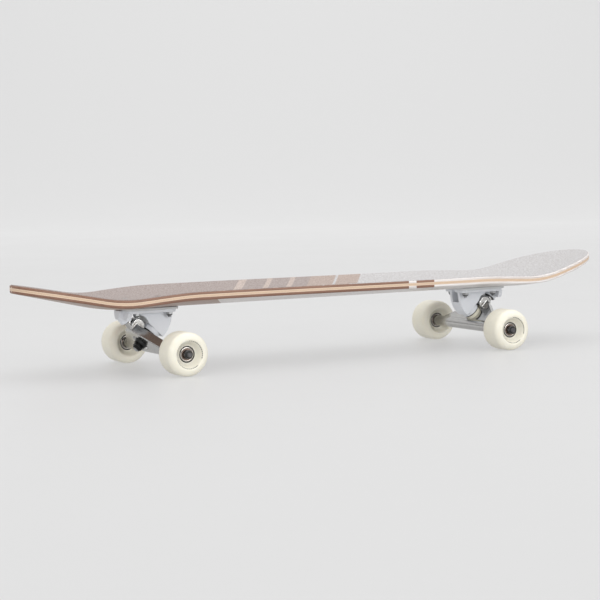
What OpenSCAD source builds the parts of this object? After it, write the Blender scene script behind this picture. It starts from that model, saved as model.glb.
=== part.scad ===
// Longboard skateboard: laminated deck, two reverse-kingpin trucks, four wheels.
// Millimetres. +X towards the nose, +Z up, Z = 0 is the ground.
// The origin is on the ground below the middle of the board.

/* [Deck] */
// Width of the deck at its widest
deck_w = 188; // [155:1:250]
// Nose tip, ahead of the front axle
nose_over = 231; // [190:1:300]
// Tail tip, behind the rear axle
tail_over = 222; // [180:1:300]
// Length over which the nose narrows to its tip
nose_round = 135; // [100:1:220]
// Length over which the tail narrows to its tip
tail_round = 200; // [100:1:240]
// From the front baseplate to the start of the nose kick
nose_kick_gap = 0; // [0:1:20]
// From the rear baseplate to the start of the tail kick
tail_kick_gap = 5; // [0:1:20]
// Final slope of the nose kick in degrees
nose_kick_angle = 15.5; // [5:0.5:25]
// Final slope of the tail kick in degrees
tail_kick_angle = 13; // [5:0.5:25]
// Bend radius of both kicks along the spine
kick_r = 260; // [150:5:400]
// Height of the rails above the spine, behind the front truck
concave_front = 11.6; // [4:0.1:16]
// Height of the rails above the spine, ahead of the rear truck
concave_rear = 14; // [4:0.1:16]
// Height of the rails above the spine on the kicks
concave_kick = 6.5; // [1:0.5:8]
// Thickness of the maple core
core_t = 7.2; // [6:0.1:12]
// Thickness of the stained veneers on top
ply_top_t = 2.4; // [0.8:0.1:3.2]
// Thickness of the stained veneers below
ply_bottom_t = 2.4; // [0.8:0.1:3.2]
// Thickness of the grit sheet on top
grip_t = 0.8; // [0.5:0.1:1.5]
// Width of the rounding along the deck's edges
edge_round = 2; // [1:0.5:4]

/* [Trucks] */
// Distance between the axles
wheelbase = 570; // [450:1:700]
// Width of the hanger between its axle shoulders
hanger_w = 188; // [150:1:200]
// Height from the axle's centre to the top of the baseplate
truck_h = 59; // [57:0.5:72]
// Thickness of the baseplate's flange
flange_t = 4.5; // [3.5:0.5:6]
// Baseplate beyond the inboard bolts
plate_edge_in = 10; // [8:0.5:14]
// Baseplate beyond the outboard bolts
plate_edge_out = 16; // [14:0.5:22]
// Baseplate beside the bolts
plate_edge_side = 8.35; // [7:0.05:12]
// Corner radius of the baseplate
plate_r = 9; // [4:1:12]
// Thickness of the riser pad
riser_t = 2.7; // [1.5:0.1:12]
// Slope of the kingpin below horizontal, in degrees
kingpin_rake = 45; // [43:1:47]
// Slope of the steering axis above horizontal, in degrees
steer_angle = 50; // [46:1:52]
// Diameter of the kingpin
kingpin_d = 9.52; // [8:0.01:10]
// Diameter of the bushings at the hanger
bushing_d = 25; // [20.8:0.1:26]
// Height of the bushing between baseplate and hanger
bush_board_h = 12; // [10:0.5:14]
// Height of the bushing between hanger and kingpin nut
bush_road_h = 7.5; // [6:0.5:10]
// Thickness of the hanger's wall between the bushings
web_t = 3.5; // [3:0.5:5]
// Thickness of the bushing washers
cup_washer_t = 1.5; // [1:0.1:2]
// Diameter of the hanger's pivot nose
pivot_d = 12; // [9:0.5:13]
// Wall of the pivot cup
pivot_cup_wall = 2; // [1.5:0.1:2.5]
// Diameter of the hanger at its ends
hanger_end_d = 18; // [16:0.5:20]

/* [Deck fasteners] */
// Hole spacing along the board
bolt_dx = 54; // [50:0.1:56]
// Hole spacing across the board
bolt_dy = 41.3; // [40:0.1:43]
// Thread diameter of the deck bolts
bolt_d = 4.8; // [4:0.1:5]
// Length of a deck bolt under its head
bolt_len = 28.5; // [28:0.5:45]
// Head diameter of the deck bolts
bolt_head_d = 9; // [8:0.1:10]
// Width across the flats of the deck nuts
deck_nut_af = 9.5; // [8:0.1:10]
// Height of the deck nuts
deck_nut_h = 5.5; // [4:0.1:6]

/* [Wheels] */
// Diameter of the wheels
wheel_d = 65; // [60:1:76]
// Width of the wheels
wheel_w = 45; // [40:0.5:52]
// Radius of the wheels' rounded lips
lip_r = 10; // [5:0.5:11]
// Bearing bore
bearing_id = 8; // [6.6:0.1:9.6]
// Bearing outer diameter
bearing_od = 22; // [20:0.1:26.4]
// Bearing width
bearing_w = 7; // [6:0.1:8]
// Ball diameter
ball_d = 3.8; // [3:0.1:3.9]
// Length of the spacer between a wheel's bearings
spacer_len = 10; // [8:0.1:12]
// Thickness of the speed washers
speed_washer_t = 1; // [0.5:0.1:1.5]
// Width across the flats of the axle nuts
axle_nut_af = 12.7; // [12:0.1:14]
// Height of the axle nuts
axle_nut_h = 7.5; // [6:0.1:9]

/* [Hidden] */

FRONT = 1;
REAR = -1;
LEFT = 1;
RIGHT = -1;
eps = 0.01;
fine = 64;
big = 200;

// Clearances
run_gap = 0.3;        // between pieces that move past each other
pin_gap = 0.03;       // radial, axle in its bores
bolt_gap = 0.3;       // radial, bolts in their holes
seat_gap = 0.02;      // radial, bearing shell in the wheel

// Whole board: the origin is below the middle of its length
mid_x = (nose_over - tail_over) / 2;
axle_z = wheel_d / 2;
half_base = wheelbase / 2;
nose_len = half_base + nose_over;   // from the midpoint between the axles
tail_len = half_base + tail_over;

// Heights above the ground
flange_top_z = axle_z + truck_h;
flange_z = flange_top_z - flange_t;
deck_under_z = flange_top_z + riser_t;
core_z = deck_under_z + ply_bottom_t;
ply_top_z = core_z + core_t;
wood_top_z = ply_top_z + ply_top_t;

// Baseplate, in its truck's frame with X outboard from the axle
bolt_mid_x = 8;             // middle of the bolt pattern
plate_in = bolt_dx / 2 - bolt_mid_x + plate_edge_in;
plate_out = bolt_dx / 2 + bolt_mid_x + plate_edge_out;
plate_w = bolt_dy + 2 * plate_edge_side;

// Deck outline and section
nose_kick_start = half_base + plate_out + nose_kick_gap;
tail_kick_start = half_base + plate_out + tail_kick_gap;
half_w = deck_w / 2;
grip_inset = edge_round;
concave_full_x = half_base - 40;    // rails keep their full height up to here
concave_end_x = half_base + 100;    // and are down to the kicks' height here
deck_x_step = 24;
tip_steps = 10;
tip_end_deg = 86;
cols_half = 3;

function smooth(t) = t <= 0 ? 0 : t >= 1 ? 1 : t * t * (3 - 2 * t);
function rail_full(x) = concave_rear + (concave_front - concave_rear)
    * smooth((x + concave_full_x) / (2 * concave_full_x));
function rail_rise(x) = concave_kick + (rail_full(x) - concave_kick)
    * smooth((concave_end_x - abs(x)) / (concave_end_x - concave_full_x));
function kick_rise(d, r, a) = d <= 0 ? 0
    : d < r * sin(a) ? r - sqrt(r * r - d * d)
    : r * (1 - cos(a)) + (d - r * sin(a)) * tan(a);
function spine_rise(x) = kick_rise(x - nose_kick_start, kick_r, nose_kick_angle)
    + kick_rise(-x - tail_kick_start, kick_r, tail_kick_angle);
function deck_rise(x, y) = spine_rise(x) + rail_rise(x) * pow(y / half_w, 2);

// Stations along the deck: [x, half width]
nose_x0 = nose_len - nose_round;
tail_x0 = tail_len - tail_round;
mid_steps = ceil((nose_x0 + tail_x0) / deck_x_step);
stations = concat(
    [for (i = [tip_steps : -1 : 1]) let (a = tip_end_deg * i / tip_steps)
        [-tail_x0 - tail_round * sin(a), half_w * cos(a)]],
    [for (i = [0 : mid_steps]) [-tail_x0 + (nose_x0 + tail_x0) * i / mid_steps, half_w]],
    [for (i = [1 : tip_steps]) let (a = tip_end_deg * i / tip_steps)
        [nose_x0 + nose_round * sin(a), half_w * cos(a)]]
);

// Truck geometry, in a frame with X outboard from the axle
seat_x = 5.3;               // bushing seat on the kingpin's axis
seat_z = axle_z + 22.2;
kingpin_dir = [cos(kingpin_rake), 0, -sin(kingpin_rake)];
plane_dir = [sin(kingpin_rake), 0, cos(kingpin_rake)];
// A point t up the hanger's plane and s down the kingpin from the seat
function ts(t, s) = [seat_x, 0, seat_z] + t * plane_dir + s * kingpin_dir;

// Stack along the kingpin, measured from the seat
washer_seat_depth = 0.5;
board_washer_s = -washer_seat_depth;
board_bush_s = board_washer_s + cup_washer_t;
web_s = board_bush_s + bush_board_h;
road_bush_s = web_s + web_t;
road_washer_s = road_bush_s + bush_road_h;
nut_s = road_washer_s + cup_washer_t;
kingpin_nut_h = 7;
kingpin_nut_af = 13;
kingpin_head_af = 14.3;
kingpin_head_h = 6.5;
kingpin_head_s = -13;
kingpin_tip = 1.5;
washer_rim = 0.6;
cup_washer_d = bushing_d + 2 * washer_rim;
road_washer_d = 18.5;
road_bush_end_d = 17;

// Hanger
rim_s = 9.5;                // its boardside rim round the bushing
bushing_gap = 0.3;
ring_wall = 3.4;
ring_r = bushing_d / 2 + bushing_gap + ring_wall;
cavity_r = 13.4;            // hollow round the roadside bushing
cavity_mouth_r = 15.6;
cavity_flare = 5.5;
knuckle_t = 25;
knuckle_s = 6.5;
knuckle_r = 11.5;
knuckle_half = 10.5;
knuckle_edge = 2;
horn_gap = 4.2;             // between the knuckle and the horn's hollow curve
wing_half = 72;             // the wings run out here, along the bar
wing_t = 9;                 // their shoulder, above the axle in the hanger's plane
wing_top_half = 12.5;
wing_top_t = 28.5;
wing_s = 6.6;               // their face towards the deck
bar_r = hanger_end_d / 2 - 0.4;
end_taper = 6;
steer_mid_s = web_s + web_t / 2;
steer_base = ts(0, steer_mid_s);
pivot_gap = 0.15;
cup_floor = 1.6;
cup_cover = 2.03;           // baseplate left over the cup, along its axis
// From the kingpin's axis to the nose's tip
pivot_len = (flange_z - steer_base[2]) / sin(steer_angle) - cup_cover - cup_floor - pivot_gap;
neck_start = 20;
neck_d = 15;
neck_end = pivot_len - 14;
cup_start = pivot_len - 12;
boss_start = pivot_len - 11;
boss_wall = 2;
cup_r = pivot_d / 2 + pivot_gap + pivot_cup_wall;
boss_r = cup_r + boss_wall;
// The boss stands out of the plate by this much, to cover the cup's lower corner
cup_end_x = steer_base[0] + (pivot_len + pivot_gap + cup_floor) * cos(steer_angle) + cup_r * sin(steer_angle);
boss_over = max(1, cup_end_x + 1.2 - plate_out);

// Baseplate
horn_half = 14;
horn_pocket_half = 8.7;
horn_curve_wall = 4;
horn_boss_r = cup_washer_d / 2 + 0.6;   // round seat of the boardside bushing
horn_boss_h = 7;
horn_pocket_t = 9.5;        // the pocket is closed below the kingpin's head
horn_tip_t = -12.5;
horn_seat_t = 11.5;
end_wall_t = 7;
end_wall_z = flange_z - 11;
end_wall_low = 0.82;        // its lower edge, as a share of its upper
bolt_x = bolt_mid_x + half_base;
countersink_h = 2.6;
head_flush = 0.3;

// Wheels, from the board's centre plane
hanger_end_y = hanger_w / 2;
bearing_in_y = hanger_end_y + speed_washer_t;
core_w = 2 * bearing_w + spacer_len;
wheel_mid_y = bearing_in_y + core_w / 2;
bearing_out_y = bearing_in_y + core_w;
nut_y = bearing_out_y + speed_washer_t;
axle_tip = 1.8;
axle_end_y = nut_y + axle_nut_h + axle_tip;
wheel_r = wheel_d / 2;
bearing_r = bearing_od / 2;
hub_core_r = bearing_r + 1.4;
hub_rib = 1.8;              // depth of the rib between the bearings
hub_lip = 0.8;
axle_d = bearing_id - 2 * pin_gap;
ball_pitch_r = (bearing_od + bearing_id) / 4;
race_gap = 0.84 * ball_d;   // between the races, beside the balls' groove
race_cone_r = ball_pitch_r - race_gap / 2;
race_shell_r = ball_pitch_r + race_gap / 2;
groove_r = ball_d / 2 + 0.25;
shield_t = 0.4;
shield_inset = 0.3;
shield_in_r = race_cone_r + run_gap;
cage_t = 0.9;
cage_h = 1.6;
balls = 7;
spacer_r = bearing_id / 2 + 1;
speed_washer_r = race_cone_r - 0.3;
spacer_slack = 0.05;

// Colours
maple = "#E8C9A4";
brown = "#8A6450";
grit = "#B5A8A3";
paint = "#E9EAEC";
metal = "#A9AAAA";
steel = "#8C8C8E";
black = "#161616";
urethane = "#E3DFD2";

// ---------- deck ----------

// One layer of the deck between two heights over the spine.
// inset leaves the outer strip off; top_cut and bottom_cut bevel its edges.
module deck_layer(z_low, z_high, inset, top_cut, bottom_cut) {
    first = inset ? 1 : 0;
    used = [for (i = [first : len(stations) - 1 - first]) stations[i]];
    cols = inset ? 2 * cols_half + 1 : 2 * cols_half + 3;
    n = len(used);
    last = cols - 1;
    function col_y(w, j) = let (k = inset ? j + 1 : j, inner = max(w - grip_inset, w * 0.6))
        k == 0 ? -w : k == 2 * cols_half + 2 ? w : inner * (k - 1 - cols_half) / cols_half;
    function rim(i, j) = j == 0 || j == last || i == 0 || i == n - 1 ? 1 : 0;
    function top_pt(i, j) = let (x = used[i][0], y = col_y(used[i][1], j))
        [x, y, z_high + deck_rise(x, y) - top_cut * rim(i, j)];
    function low_pt(i, j) = let (x = used[i][0], y = col_y(used[i][1], j))
        [x, y, z_low + deck_rise(x, y) + bottom_cut * rim(i, j)];
    points = concat(
        [for (i = [0 : n - 1], j = [0 : last]) top_pt(i, j)],
        [for (i = [0 : n - 1], j = [0 : last]) low_pt(i, j)]
    );
    m = n * cols;
    tops = [for (i = [0 : n - 2], j = [0 : last - 1]) let (a = i * cols + j, b = a + cols)
        each [[a, a + 1, b + 1], [a, b + 1, b]]];
    lows = [for (f = tops) [f[2] + m, f[1] + m, f[0] + m]];
    side_a = [for (i = [0 : n - 2]) let (a = i * cols, b = a + cols)
        each [[a, b, b + m], [a, b + m, a + m]]];
    side_b = [for (i = [0 : n - 2]) let (a = i * cols + last, b = a + cols)
        each [[b, a, a + m], [b, a + m, b + m]]];
    end_a = [for (j = [0 : last - 1]) each [[j + 1, j, j + m], [j + 1, j + m, j + 1 + m]]];
    end_b = [for (j = [0 : last - 1]) let (a = (n - 1) * cols + j)
        each [[a, a + 1, a + 1 + m], [a, a + 1 + m, a + m]]];
    polyhedron(points, concat(tops, lows, side_a, side_b, end_a, end_b), convexity = 4);
}

module board_frame() {
    translate([-mid_x, 0, 0]) children();
}

module at_deck_bolts() {
    for (side = [FRONT, REAR], dx = [-1, 1], dy = [-1, 1])
        translate([side * bolt_x + dx * bolt_dx / 2, dy * bolt_dy / 2, 0]) children();
}

bolt_rise = max(deck_rise(bolt_x, bolt_dy / 2), deck_rise(-bolt_x, bolt_dy / 2));
bolt_top_z = wood_top_z + grip_t + bolt_rise;
head_hole_r = bolt_head_d / 2 + bolt_gap;

module bolt_holes() {
    at_deck_bolts() {
        cylinder(h = bolt_top_z + big / 2, r = bolt_d / 2 + bolt_gap, $fn = fine);
        translate([0, 0, bolt_top_z - head_flush - countersink_h])
            cylinder(h = countersink_h, r1 = bolt_d / 2, r2 = head_hole_r, $fn = fine);
    }
}

module grip_sheet() {
    color(grit) board_frame() difference() {
        deck_layer(wood_top_z, wood_top_z + grip_t, true, 0, 0);
        at_deck_bolts() cylinder(h = 2 * bolt_top_z, r = head_hole_r, $fn = fine);
    }
}

module deck_ply_top() {
    color(brown) board_frame() difference() {
        deck_layer(ply_top_z, wood_top_z, false, edge_round * 0.8, 0);
        bolt_holes();
    }
}

module deck_core() {
    color(maple) board_frame() difference() {
        deck_layer(core_z, ply_top_z, false, 0, 0);
        bolt_holes();
    }
}

module deck_ply_bottom() {
    color(brown) board_frame() difference() {
        deck_layer(deck_under_z, core_z, false, 0, edge_round * 0.8);
        bolt_holes();
    }
}

module deck_bolts() {
    socket_d = 3.2;
    socket_h = 2;
    color(steel) board_frame() at_deck_bolts() difference() {
        union() {
            translate([0, 0, bolt_top_z - head_flush - bolt_len])
                cylinder(h = bolt_len - eps, d = bolt_d, $fn = fine);
            translate([0, 0, bolt_top_z - head_flush - countersink_h])
                cylinder(h = countersink_h, d1 = bolt_d, d2 = bolt_head_d, $fn = fine);
        }
        translate([0, 0, bolt_top_z - head_flush - socket_h])
            cylinder(h = socket_h + eps, d = socket_d, $fn = 6);
    }
}

module deck_nuts() {
    collar_h = 1.5;
    color(steel) board_frame() at_deck_bolts() translate([0, 0, flange_z - deck_nut_h])
        difference() {
            union() {
                translate([0, 0, collar_h])
                    cylinder(h = deck_nut_h - collar_h, d = deck_nut_af / cos(30), $fn = 6);
                cylinder(h = collar_h + eps, d = deck_nut_af - 1, $fn = fine);
            }
            translate([0, 0, -eps])
                cylinder(h = deck_nut_h + 2 * eps, r = bolt_d / 2 + seat_gap, $fn = fine);
        }
}

// ---------- trucks ----------

// Puts a truck's pieces at its axle, with X pointing outboard
module truck(side) {
    board_frame() translate([side * half_base, 0, 0])
        mirror([side == REAR ? 1 : 0, 0, 0]) children();
}

module along_y(half, r) {
    rotate([90, 0, 0]) cylinder(h = 2 * half, r = r, center = true, $fn = fine);
}

// Z runs down the kingpin, from the bushing seat
module on_kingpin(s) {
    translate(ts(0, s)) rotate([0, 90 + kingpin_rake, 0]) children();
}

// Z runs up the steering axis, from the kingpin's axis
module on_steering() {
    translate(steer_base) rotate([0, 90 - steer_angle, 0]) children();
}

module rounded_plate(x0, x1, w, r, h) {
    translate([x0 + r, -w / 2, 0]) cube([x1 - x0 - 2 * r, w, h]);
    translate([x0, -w / 2 + r, 0]) cube([x1 - x0, w - 2 * r, h]);
    for (x = [x0 + r, x1 - r], y = [-w / 2 + r, w / 2 - r])
        translate([x, y, 0]) cylinder(h = h, r = r, $fn = fine);
}

module plate_bolt_holes() {
    for (dx = [-1, 1], dy = [-1, 1])
        translate([bolt_mid_x + dx * bolt_dx / 2, dy * bolt_dy / 2, flange_z - big / 4])
            cylinder(h = big, r = bolt_d / 2 + bolt_gap, $fn = fine);
}

module riser_pad(side) {
    pad_over = 2;
    pad_r = 6;
    color("#D9DADB") difference() {
        truck(side) difference() {
            translate([0, 0, flange_top_z])
                rounded_plate(-plate_in - pad_over, plate_out + pad_over,
                    plate_w + 2 * pad_over, pad_r, riser_t + bolt_rise);
            plate_bolt_holes();
            translate([bolt_mid_x - bolt_dx / 4, -bolt_dy / 4, flange_top_z - eps])
                cube([bolt_dx / 2, bolt_dy / 2, big]);
        }
        board_frame() deck_layer(deck_under_z, core_z, false, 0, 0);
        board_frame() deck_layer(core_z, ply_top_z, false, 0, 0);
    }
}

module baseplate_horn() {
    tip = ts(horn_tip_t, 0);
    top_seat = ts(horn_seat_t, 0);
    curve = ts(knuckle_t, knuckle_s);
    curve_r = knuckle_r + horn_gap;
    nose_r = 3;
    on_kingpin(-horn_boss_h - 2) cylinder(h = horn_boss_h + 2, r = horn_boss_r, $fn = fine);
    difference() {
        horn_walls(tip, top_seat, curve, curve_r, nose_r);
        on_kingpin(-horn_boss_h) translate([-big / 2, -big / 2, 0]) cube([big, big, big / 4]);
    }
}

module horn_walls(tip, top_seat, curve, curve_r, nose_r) {
    translate([0, horn_half, 0]) rotate([90, 0, 0]) linear_extrude(2 * horn_half)
        difference() {
            union() {
                polygon([
                    [-plate_in + 2, flange_z + 1],
                    [-plate_in + 3, flange_z - 9],
                    [-plate_in + 4.7, flange_z - 17],
                    [-plate_in + 8, flange_z - 25],
                    [-plate_in + 12.5, seat_z],
                    [tip[0] - 2 * nose_r, tip[2] + nose_r - 0.6],
                    [tip[0] - nose_r + 0.9, tip[2] - 0.6],
                    [tip[0], tip[2]],
                    [top_seat[0], top_seat[2]],
                    [curve[0], curve[2]],
                    [curve[0], flange_z + 1]
                ]);
                translate([tip[0] - nose_r * 0.7, tip[2] + nose_r * 0.7])
                    circle(r = nose_r, $fn = fine);
            }
            translate([curve[0], curve[2]]) circle(r = curve_r, $fn = fine);
        }
}

module horn_pocket() {
    curve = ts(knuckle_t, knuckle_s);
    difference() {
        on_kingpin(kingpin_head_s)
            translate([-big / 2, -horn_pocket_half, -big])
                cube([big / 2 + horn_pocket_t, 2 * horn_pocket_half, big]);
        translate(curve) along_y(big, knuckle_r + horn_gap + horn_curve_wall);
        translate([-big, -big / 2, flange_z]) cube([2 * big, big, big]);
        translate([curve[0] - 9, -big / 2, 0]) cube([big, big, big]);
    }
}

module pivot_housing() {
    wall_top = plate_w / 2 - 3;
    wall_low = wall_top * end_wall_low;
    // end wall across the outboard edge
    translate([plate_out, 0, 0]) rotate([90, 0, -90]) linear_extrude(end_wall_t)
        polygon([[-wall_top, flange_z + 1], [wall_top, flange_z + 1],
                 [wall_top - 1, end_wall_z + 5], [wall_low, end_wall_z],
                 [-wall_low, end_wall_z], [-wall_top + 1, end_wall_z + 5]]);
    on_steering() translate([0, 0, boss_start])
        cylinder(h = big / 4, r = boss_r, $fn = fine);
    // gusset between the boss and the flange
    translate([plate_out - 14, -5, flange_z - 8]) cube([13, 10, 9]);
}

module baseplate() {
    cup_cut_r = cup_r + seat_gap;
    color(paint) difference() {
        union() {
            translate([0, 0, flange_z])
                rounded_plate(-plate_in, plate_out, plate_w, plate_r, flange_t);
            baseplate_horn();
            pivot_housing();
        }
        horn_pocket();
        plate_bolt_holes();
        translate([-big, -big / 2, flange_top_z]) cube([2 * big, big, big]);
        translate([plate_out + boss_over, -big / 2, 0]) cube([big, big, big]);
        on_kingpin(-big / 2) cylinder(h = big, r = kingpin_d / 2 + pin_gap, $fn = fine);
        on_kingpin(-washer_seat_depth)
            cylinder(h = big / 8, r = cup_washer_d / 2 + seat_gap, $fn = fine);
        on_steering() translate([0, 0, neck_start])
            cylinder(h = pivot_len + pivot_gap + cup_floor - neck_start, r = cup_cut_r, $fn = fine);
    }
}

module pivot_cup() {
    inner_r = pivot_d / 2 + pivot_gap;
    color(black) difference() {
        on_steering() difference() {
            translate([0, 0, cup_start])
                cylinder(h = pivot_len + pivot_gap + cup_floor - cup_start, r = cup_r, $fn = fine);
            translate([0, 0, cup_start - eps])
                cylinder(h = pivot_len - pivot_d / 2 - cup_start + eps, r = inner_r, $fn = fine);
            translate([0, 0, pivot_len - pivot_d / 2]) sphere(r = inner_r, $fn = fine);
        }
        translate([-big, -big / 2, flange_top_z]) cube([2 * big, big, big]);
    }
}

module kingpin() {
    color(steel) {
        on_kingpin(kingpin_head_s)
            cylinder(h = nut_s + kingpin_nut_h + kingpin_tip - kingpin_head_s,
                d = kingpin_d, $fn = fine);
        on_kingpin(kingpin_head_s - kingpin_head_h)
            cylinder(h = kingpin_head_h, d = kingpin_head_af / cos(30), $fn = 6);
    }
}

module kingpin_nut() {
    collar_h = 2;
    color(black) on_kingpin(nut_s) difference() {
        union() {
            cylinder(h = kingpin_nut_h - collar_h, d = kingpin_nut_af / cos(30), $fn = 6);
            cylinder(h = kingpin_nut_h, d = kingpin_nut_af - 1, $fn = fine);
        }
        translate([0, 0, -eps])
            cylinder(h = kingpin_nut_h + 2 * eps, r = kingpin_d / 2 + seat_gap, $fn = fine);
    }
}

module washer(d, hole_r, h) {
    difference() {
        cylinder(h = h, d = d, $fn = fine);
        translate([0, 0, -eps]) cylinder(h = h + 2 * eps, r = hole_r, $fn = fine);
    }
}

module cup_washers() {
    hole_r = kingpin_d / 2 + bolt_gap / 2;
    color(black) {
        on_kingpin(board_washer_s) washer(cup_washer_d, hole_r, cup_washer_t);
        on_kingpin(road_washer_s) washer(road_washer_d, hole_r, cup_washer_t);
    }
}

// Barrel bushing, with a rounded waist at each end
module bushing_board() {
    end_r = bushing_d / 2 - 0.8;
    color(urethane) on_kingpin(board_bush_s) difference() {
        rotate_extrude($fn = fine) polygon([
            [0, 0], [end_r, 0], [bushing_d / 2, 1.2], [bushing_d / 2, bush_board_h - 1.2],
            [end_r, bush_board_h], [0, bush_board_h]
        ]);
        translate([0, 0, -eps])
            cylinder(h = bush_board_h + 2 * eps, r = kingpin_d / 2 + bolt_gap / 2, $fn = fine);
    }
}

// Cone bushing under the hanger
module bushing_road() {
    color(black) on_kingpin(road_bush_s) difference() {
        cylinder(h = bush_road_h, d1 = bushing_d - 1.5, d2 = road_bush_end_d, $fn = fine);
        translate([0, 0, -eps])
            cylinder(h = bush_road_h + 2 * eps, r = kingpin_d / 2 + bolt_gap / 2, $fn = fine);
    }
}

// The axle's place in the hanger's plane, up it and down the kingpin
axle_t = -seat_x * plane_dir[0] - (seat_z - axle_z) * plane_dir[2];
axle_s = -seat_x * kingpin_dir[0] - (seat_z - axle_z) * kingpin_dir[2];

// Flat-sided delta between the knuckle and the bar round the axle
module hanger_wings() {
    shoulder = axle_t + wing_t;
    edge = 1.2;
    function delta(in) = [
        [-axle_t, -wing_half], [-shoulder + in, -wing_half], [-wing_top_t + in, -wing_top_half],
        [-wing_top_t + in, wing_top_half], [-shoulder + in, wing_half], [-axle_t, wing_half]
    ];
    on_kingpin(wing_s) linear_extrude(axle_s + bar_r - edge - wing_s) polygon(delta(0));
    on_kingpin(wing_s) linear_extrude(axle_s + bar_r - wing_s - 0.05) polygon(delta(edge));
    translate([0, 0, axle_z]) along_y(hanger_end_y, bar_r);
    for (side = [-1, 1]) translate([0, side * (hanger_end_y - end_taper), axle_z])
        rotate([90, 0, 0]) translate([0, 0, -end_taper])
            cylinder(h = 2 * end_taper, r = hanger_end_d / 2, $fn = fine);
}

module hanger_knuckle() {
    core_half = knuckle_half - knuckle_edge;
    translate(ts(knuckle_t, knuckle_s)) {
        along_y(core_half, knuckle_r);
        for (side = [-1, 1]) rotate([side * 90, 0, 0]) translate([0, 0, core_half - eps])
            cylinder(h = knuckle_edge + eps, r1 = knuckle_r, r2 = knuckle_r - knuckle_edge,
                $fn = fine);
    }
}

module hanger_pivot() {
    on_steering() {
        translate([0, 0, neck_start])
            cylinder(h = neck_end - neck_start, r1 = neck_d / 2, r2 = pivot_d / 2, $fn = fine);
        translate([0, 0, neck_start])
            cylinder(h = pivot_len - pivot_d / 2 - neck_start, d = pivot_d, $fn = fine);
        translate([0, 0, pivot_len - pivot_d / 2]) sphere(d = pivot_d, $fn = fine);
    }
}

module hanger() {
    deep = 60;
    color(metal) difference() {
        union() {
            hanger_wings();
            on_kingpin(rim_s) cylinder(h = road_bush_s - rim_s, r = ring_r, $fn = fine);
            hanger_knuckle();
            hanger_pivot();
        }
        on_kingpin(web_s - deep)
            cylinder(h = deep, r = bushing_d / 2 + bushing_gap, $fn = fine);
        on_kingpin(road_bush_s) cylinder(h = cavity_flare, r1 = cavity_r, r2 = cavity_mouth_r, $fn = fine);
        on_kingpin(road_bush_s + cavity_flare - eps) cylinder(h = deep, r = cavity_mouth_r, $fn = fine);
        on_kingpin(-eps) cylinder(h = deep, r = kingpin_d / 2 + 2.2, $fn = fine);
        translate([0, 0, axle_z]) along_y(hanger_end_y + end_taper, axle_d / 2 + pin_gap);
    }
}

module axle() {
    chamfer = 0.8;
    color(steel) translate([0, 0, axle_z]) {
        along_y(axle_end_y - chamfer, axle_d / 2);
        for (side = [-1, 1]) rotate([side * 90, 0, 0])
            translate([0, 0, axle_end_y - chamfer - eps])
                cylinder(h = chamfer + eps, r1 = axle_d / 2, r2 = axle_d / 2 - chamfer, $fn = fine);
    }
}

// ---------- wheels ----------

// Puts a wheel's pieces on its axle: Z runs out along the axle from the wheel's middle
module corner(side, hand) {
    board_frame() translate([side * half_base, hand * wheel_mid_y, axle_z])
        rotate([-hand * 90, 0, 0]) children();
}

module wheel() {
    half = wheel_w / 2;
    flat_r = wheel_r - lip_r;
    seat_h = core_w / 2;
    hub_r = hub_core_r + hub_lip;
    function lip(a) = [flat_r + lip_r * cos(a), half - lip_r + lip_r * sin(a)];
    function dish(u) = [hub_r + (flat_r - hub_r) * u, seat_h + (half - seat_h) * smooth(u)];
    outer = concat([for (u = [0 : 0.2 : 0.8]) dish(u)], [for (a = [90 : -10 : 0]) lip(a)]);
    inner = [for (i = [len(outer) - 1 : -1 : 0]) [outer[i][0], -outer[i][1]]];
    bore = [[hub_core_r + seat_gap, -seat_h], [hub_core_r + seat_gap, seat_h]];
    color(urethane) rotate_extrude($fn = 96) polygon(concat(outer, inner, bore));
}

// Sleeve in the wheel that seats both bearings against a rib
module wheel_core() {
    color(black) difference() {
        cylinder(h = core_w, r = hub_core_r, center = true, $fn = fine);
        cylinder(h = core_w + 1, r = bearing_r - hub_rib, center = true, $fn = fine);
        for (end = [0, 1]) mirror([0, 0, end]) translate([0, 0, spacer_len / 2])
            cylinder(h = core_w, r = bearing_r + seat_gap, $fn = fine);
    }
}

// The two bearings of a wheel, face outwards at each end of its core
module both_bearings() {
    for (end = [0, 1]) mirror([0, 0, end]) translate([0, 0, spacer_len / 2]) children();
}

module ball_groove() {
    translate([0, 0, bearing_w / 2]) rotate_extrude($fn = fine)
        translate([ball_pitch_r, 0]) circle(r = groove_r, $fn = fine);
}

module bearing_shells() {
    color(steel) both_bearings() {
        difference() {
            cylinder(h = bearing_w, r = bearing_r, $fn = fine);
            translate([0, 0, -eps]) cylinder(h = bearing_w + 2 * eps, r = race_shell_r, $fn = fine);
            ball_groove();
        }
        for (z = [shield_inset, bearing_w - shield_inset - shield_t]) translate([0, 0, z])
            difference() {
                cylinder(h = shield_t, r = race_shell_r + 0.5, $fn = fine);
                translate([0, 0, -eps])
                    cylinder(h = shield_t + 2 * eps, r = shield_in_r, $fn = fine);
            }
    }
}

module bearing_cones() {
    color(steel) both_bearings() difference() {
        cylinder(h = bearing_w, r = race_cone_r, $fn = fine);
        translate([0, 0, -eps])
            cylinder(h = bearing_w + 2 * eps, r = bearing_id / 2, $fn = fine);
        ball_groove();
    }
}

// Balls held by a thin ring, one set in each bearing
module ball_cages() {
    color("#C9A860") both_bearings() translate([0, 0, bearing_w / 2]) {
        difference() {
            cylinder(h = cage_h, r = ball_pitch_r + cage_t / 2, center = true, $fn = fine);
            cylinder(h = 2 * cage_h, r = ball_pitch_r - cage_t / 2, center = true, $fn = fine);
        }
        for (i = [0 : balls - 1]) rotate([0, 0, i * 360 / balls])
            translate([ball_pitch_r, 0, 0]) sphere(d = ball_d, $fn = fine);
    }
}

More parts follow.
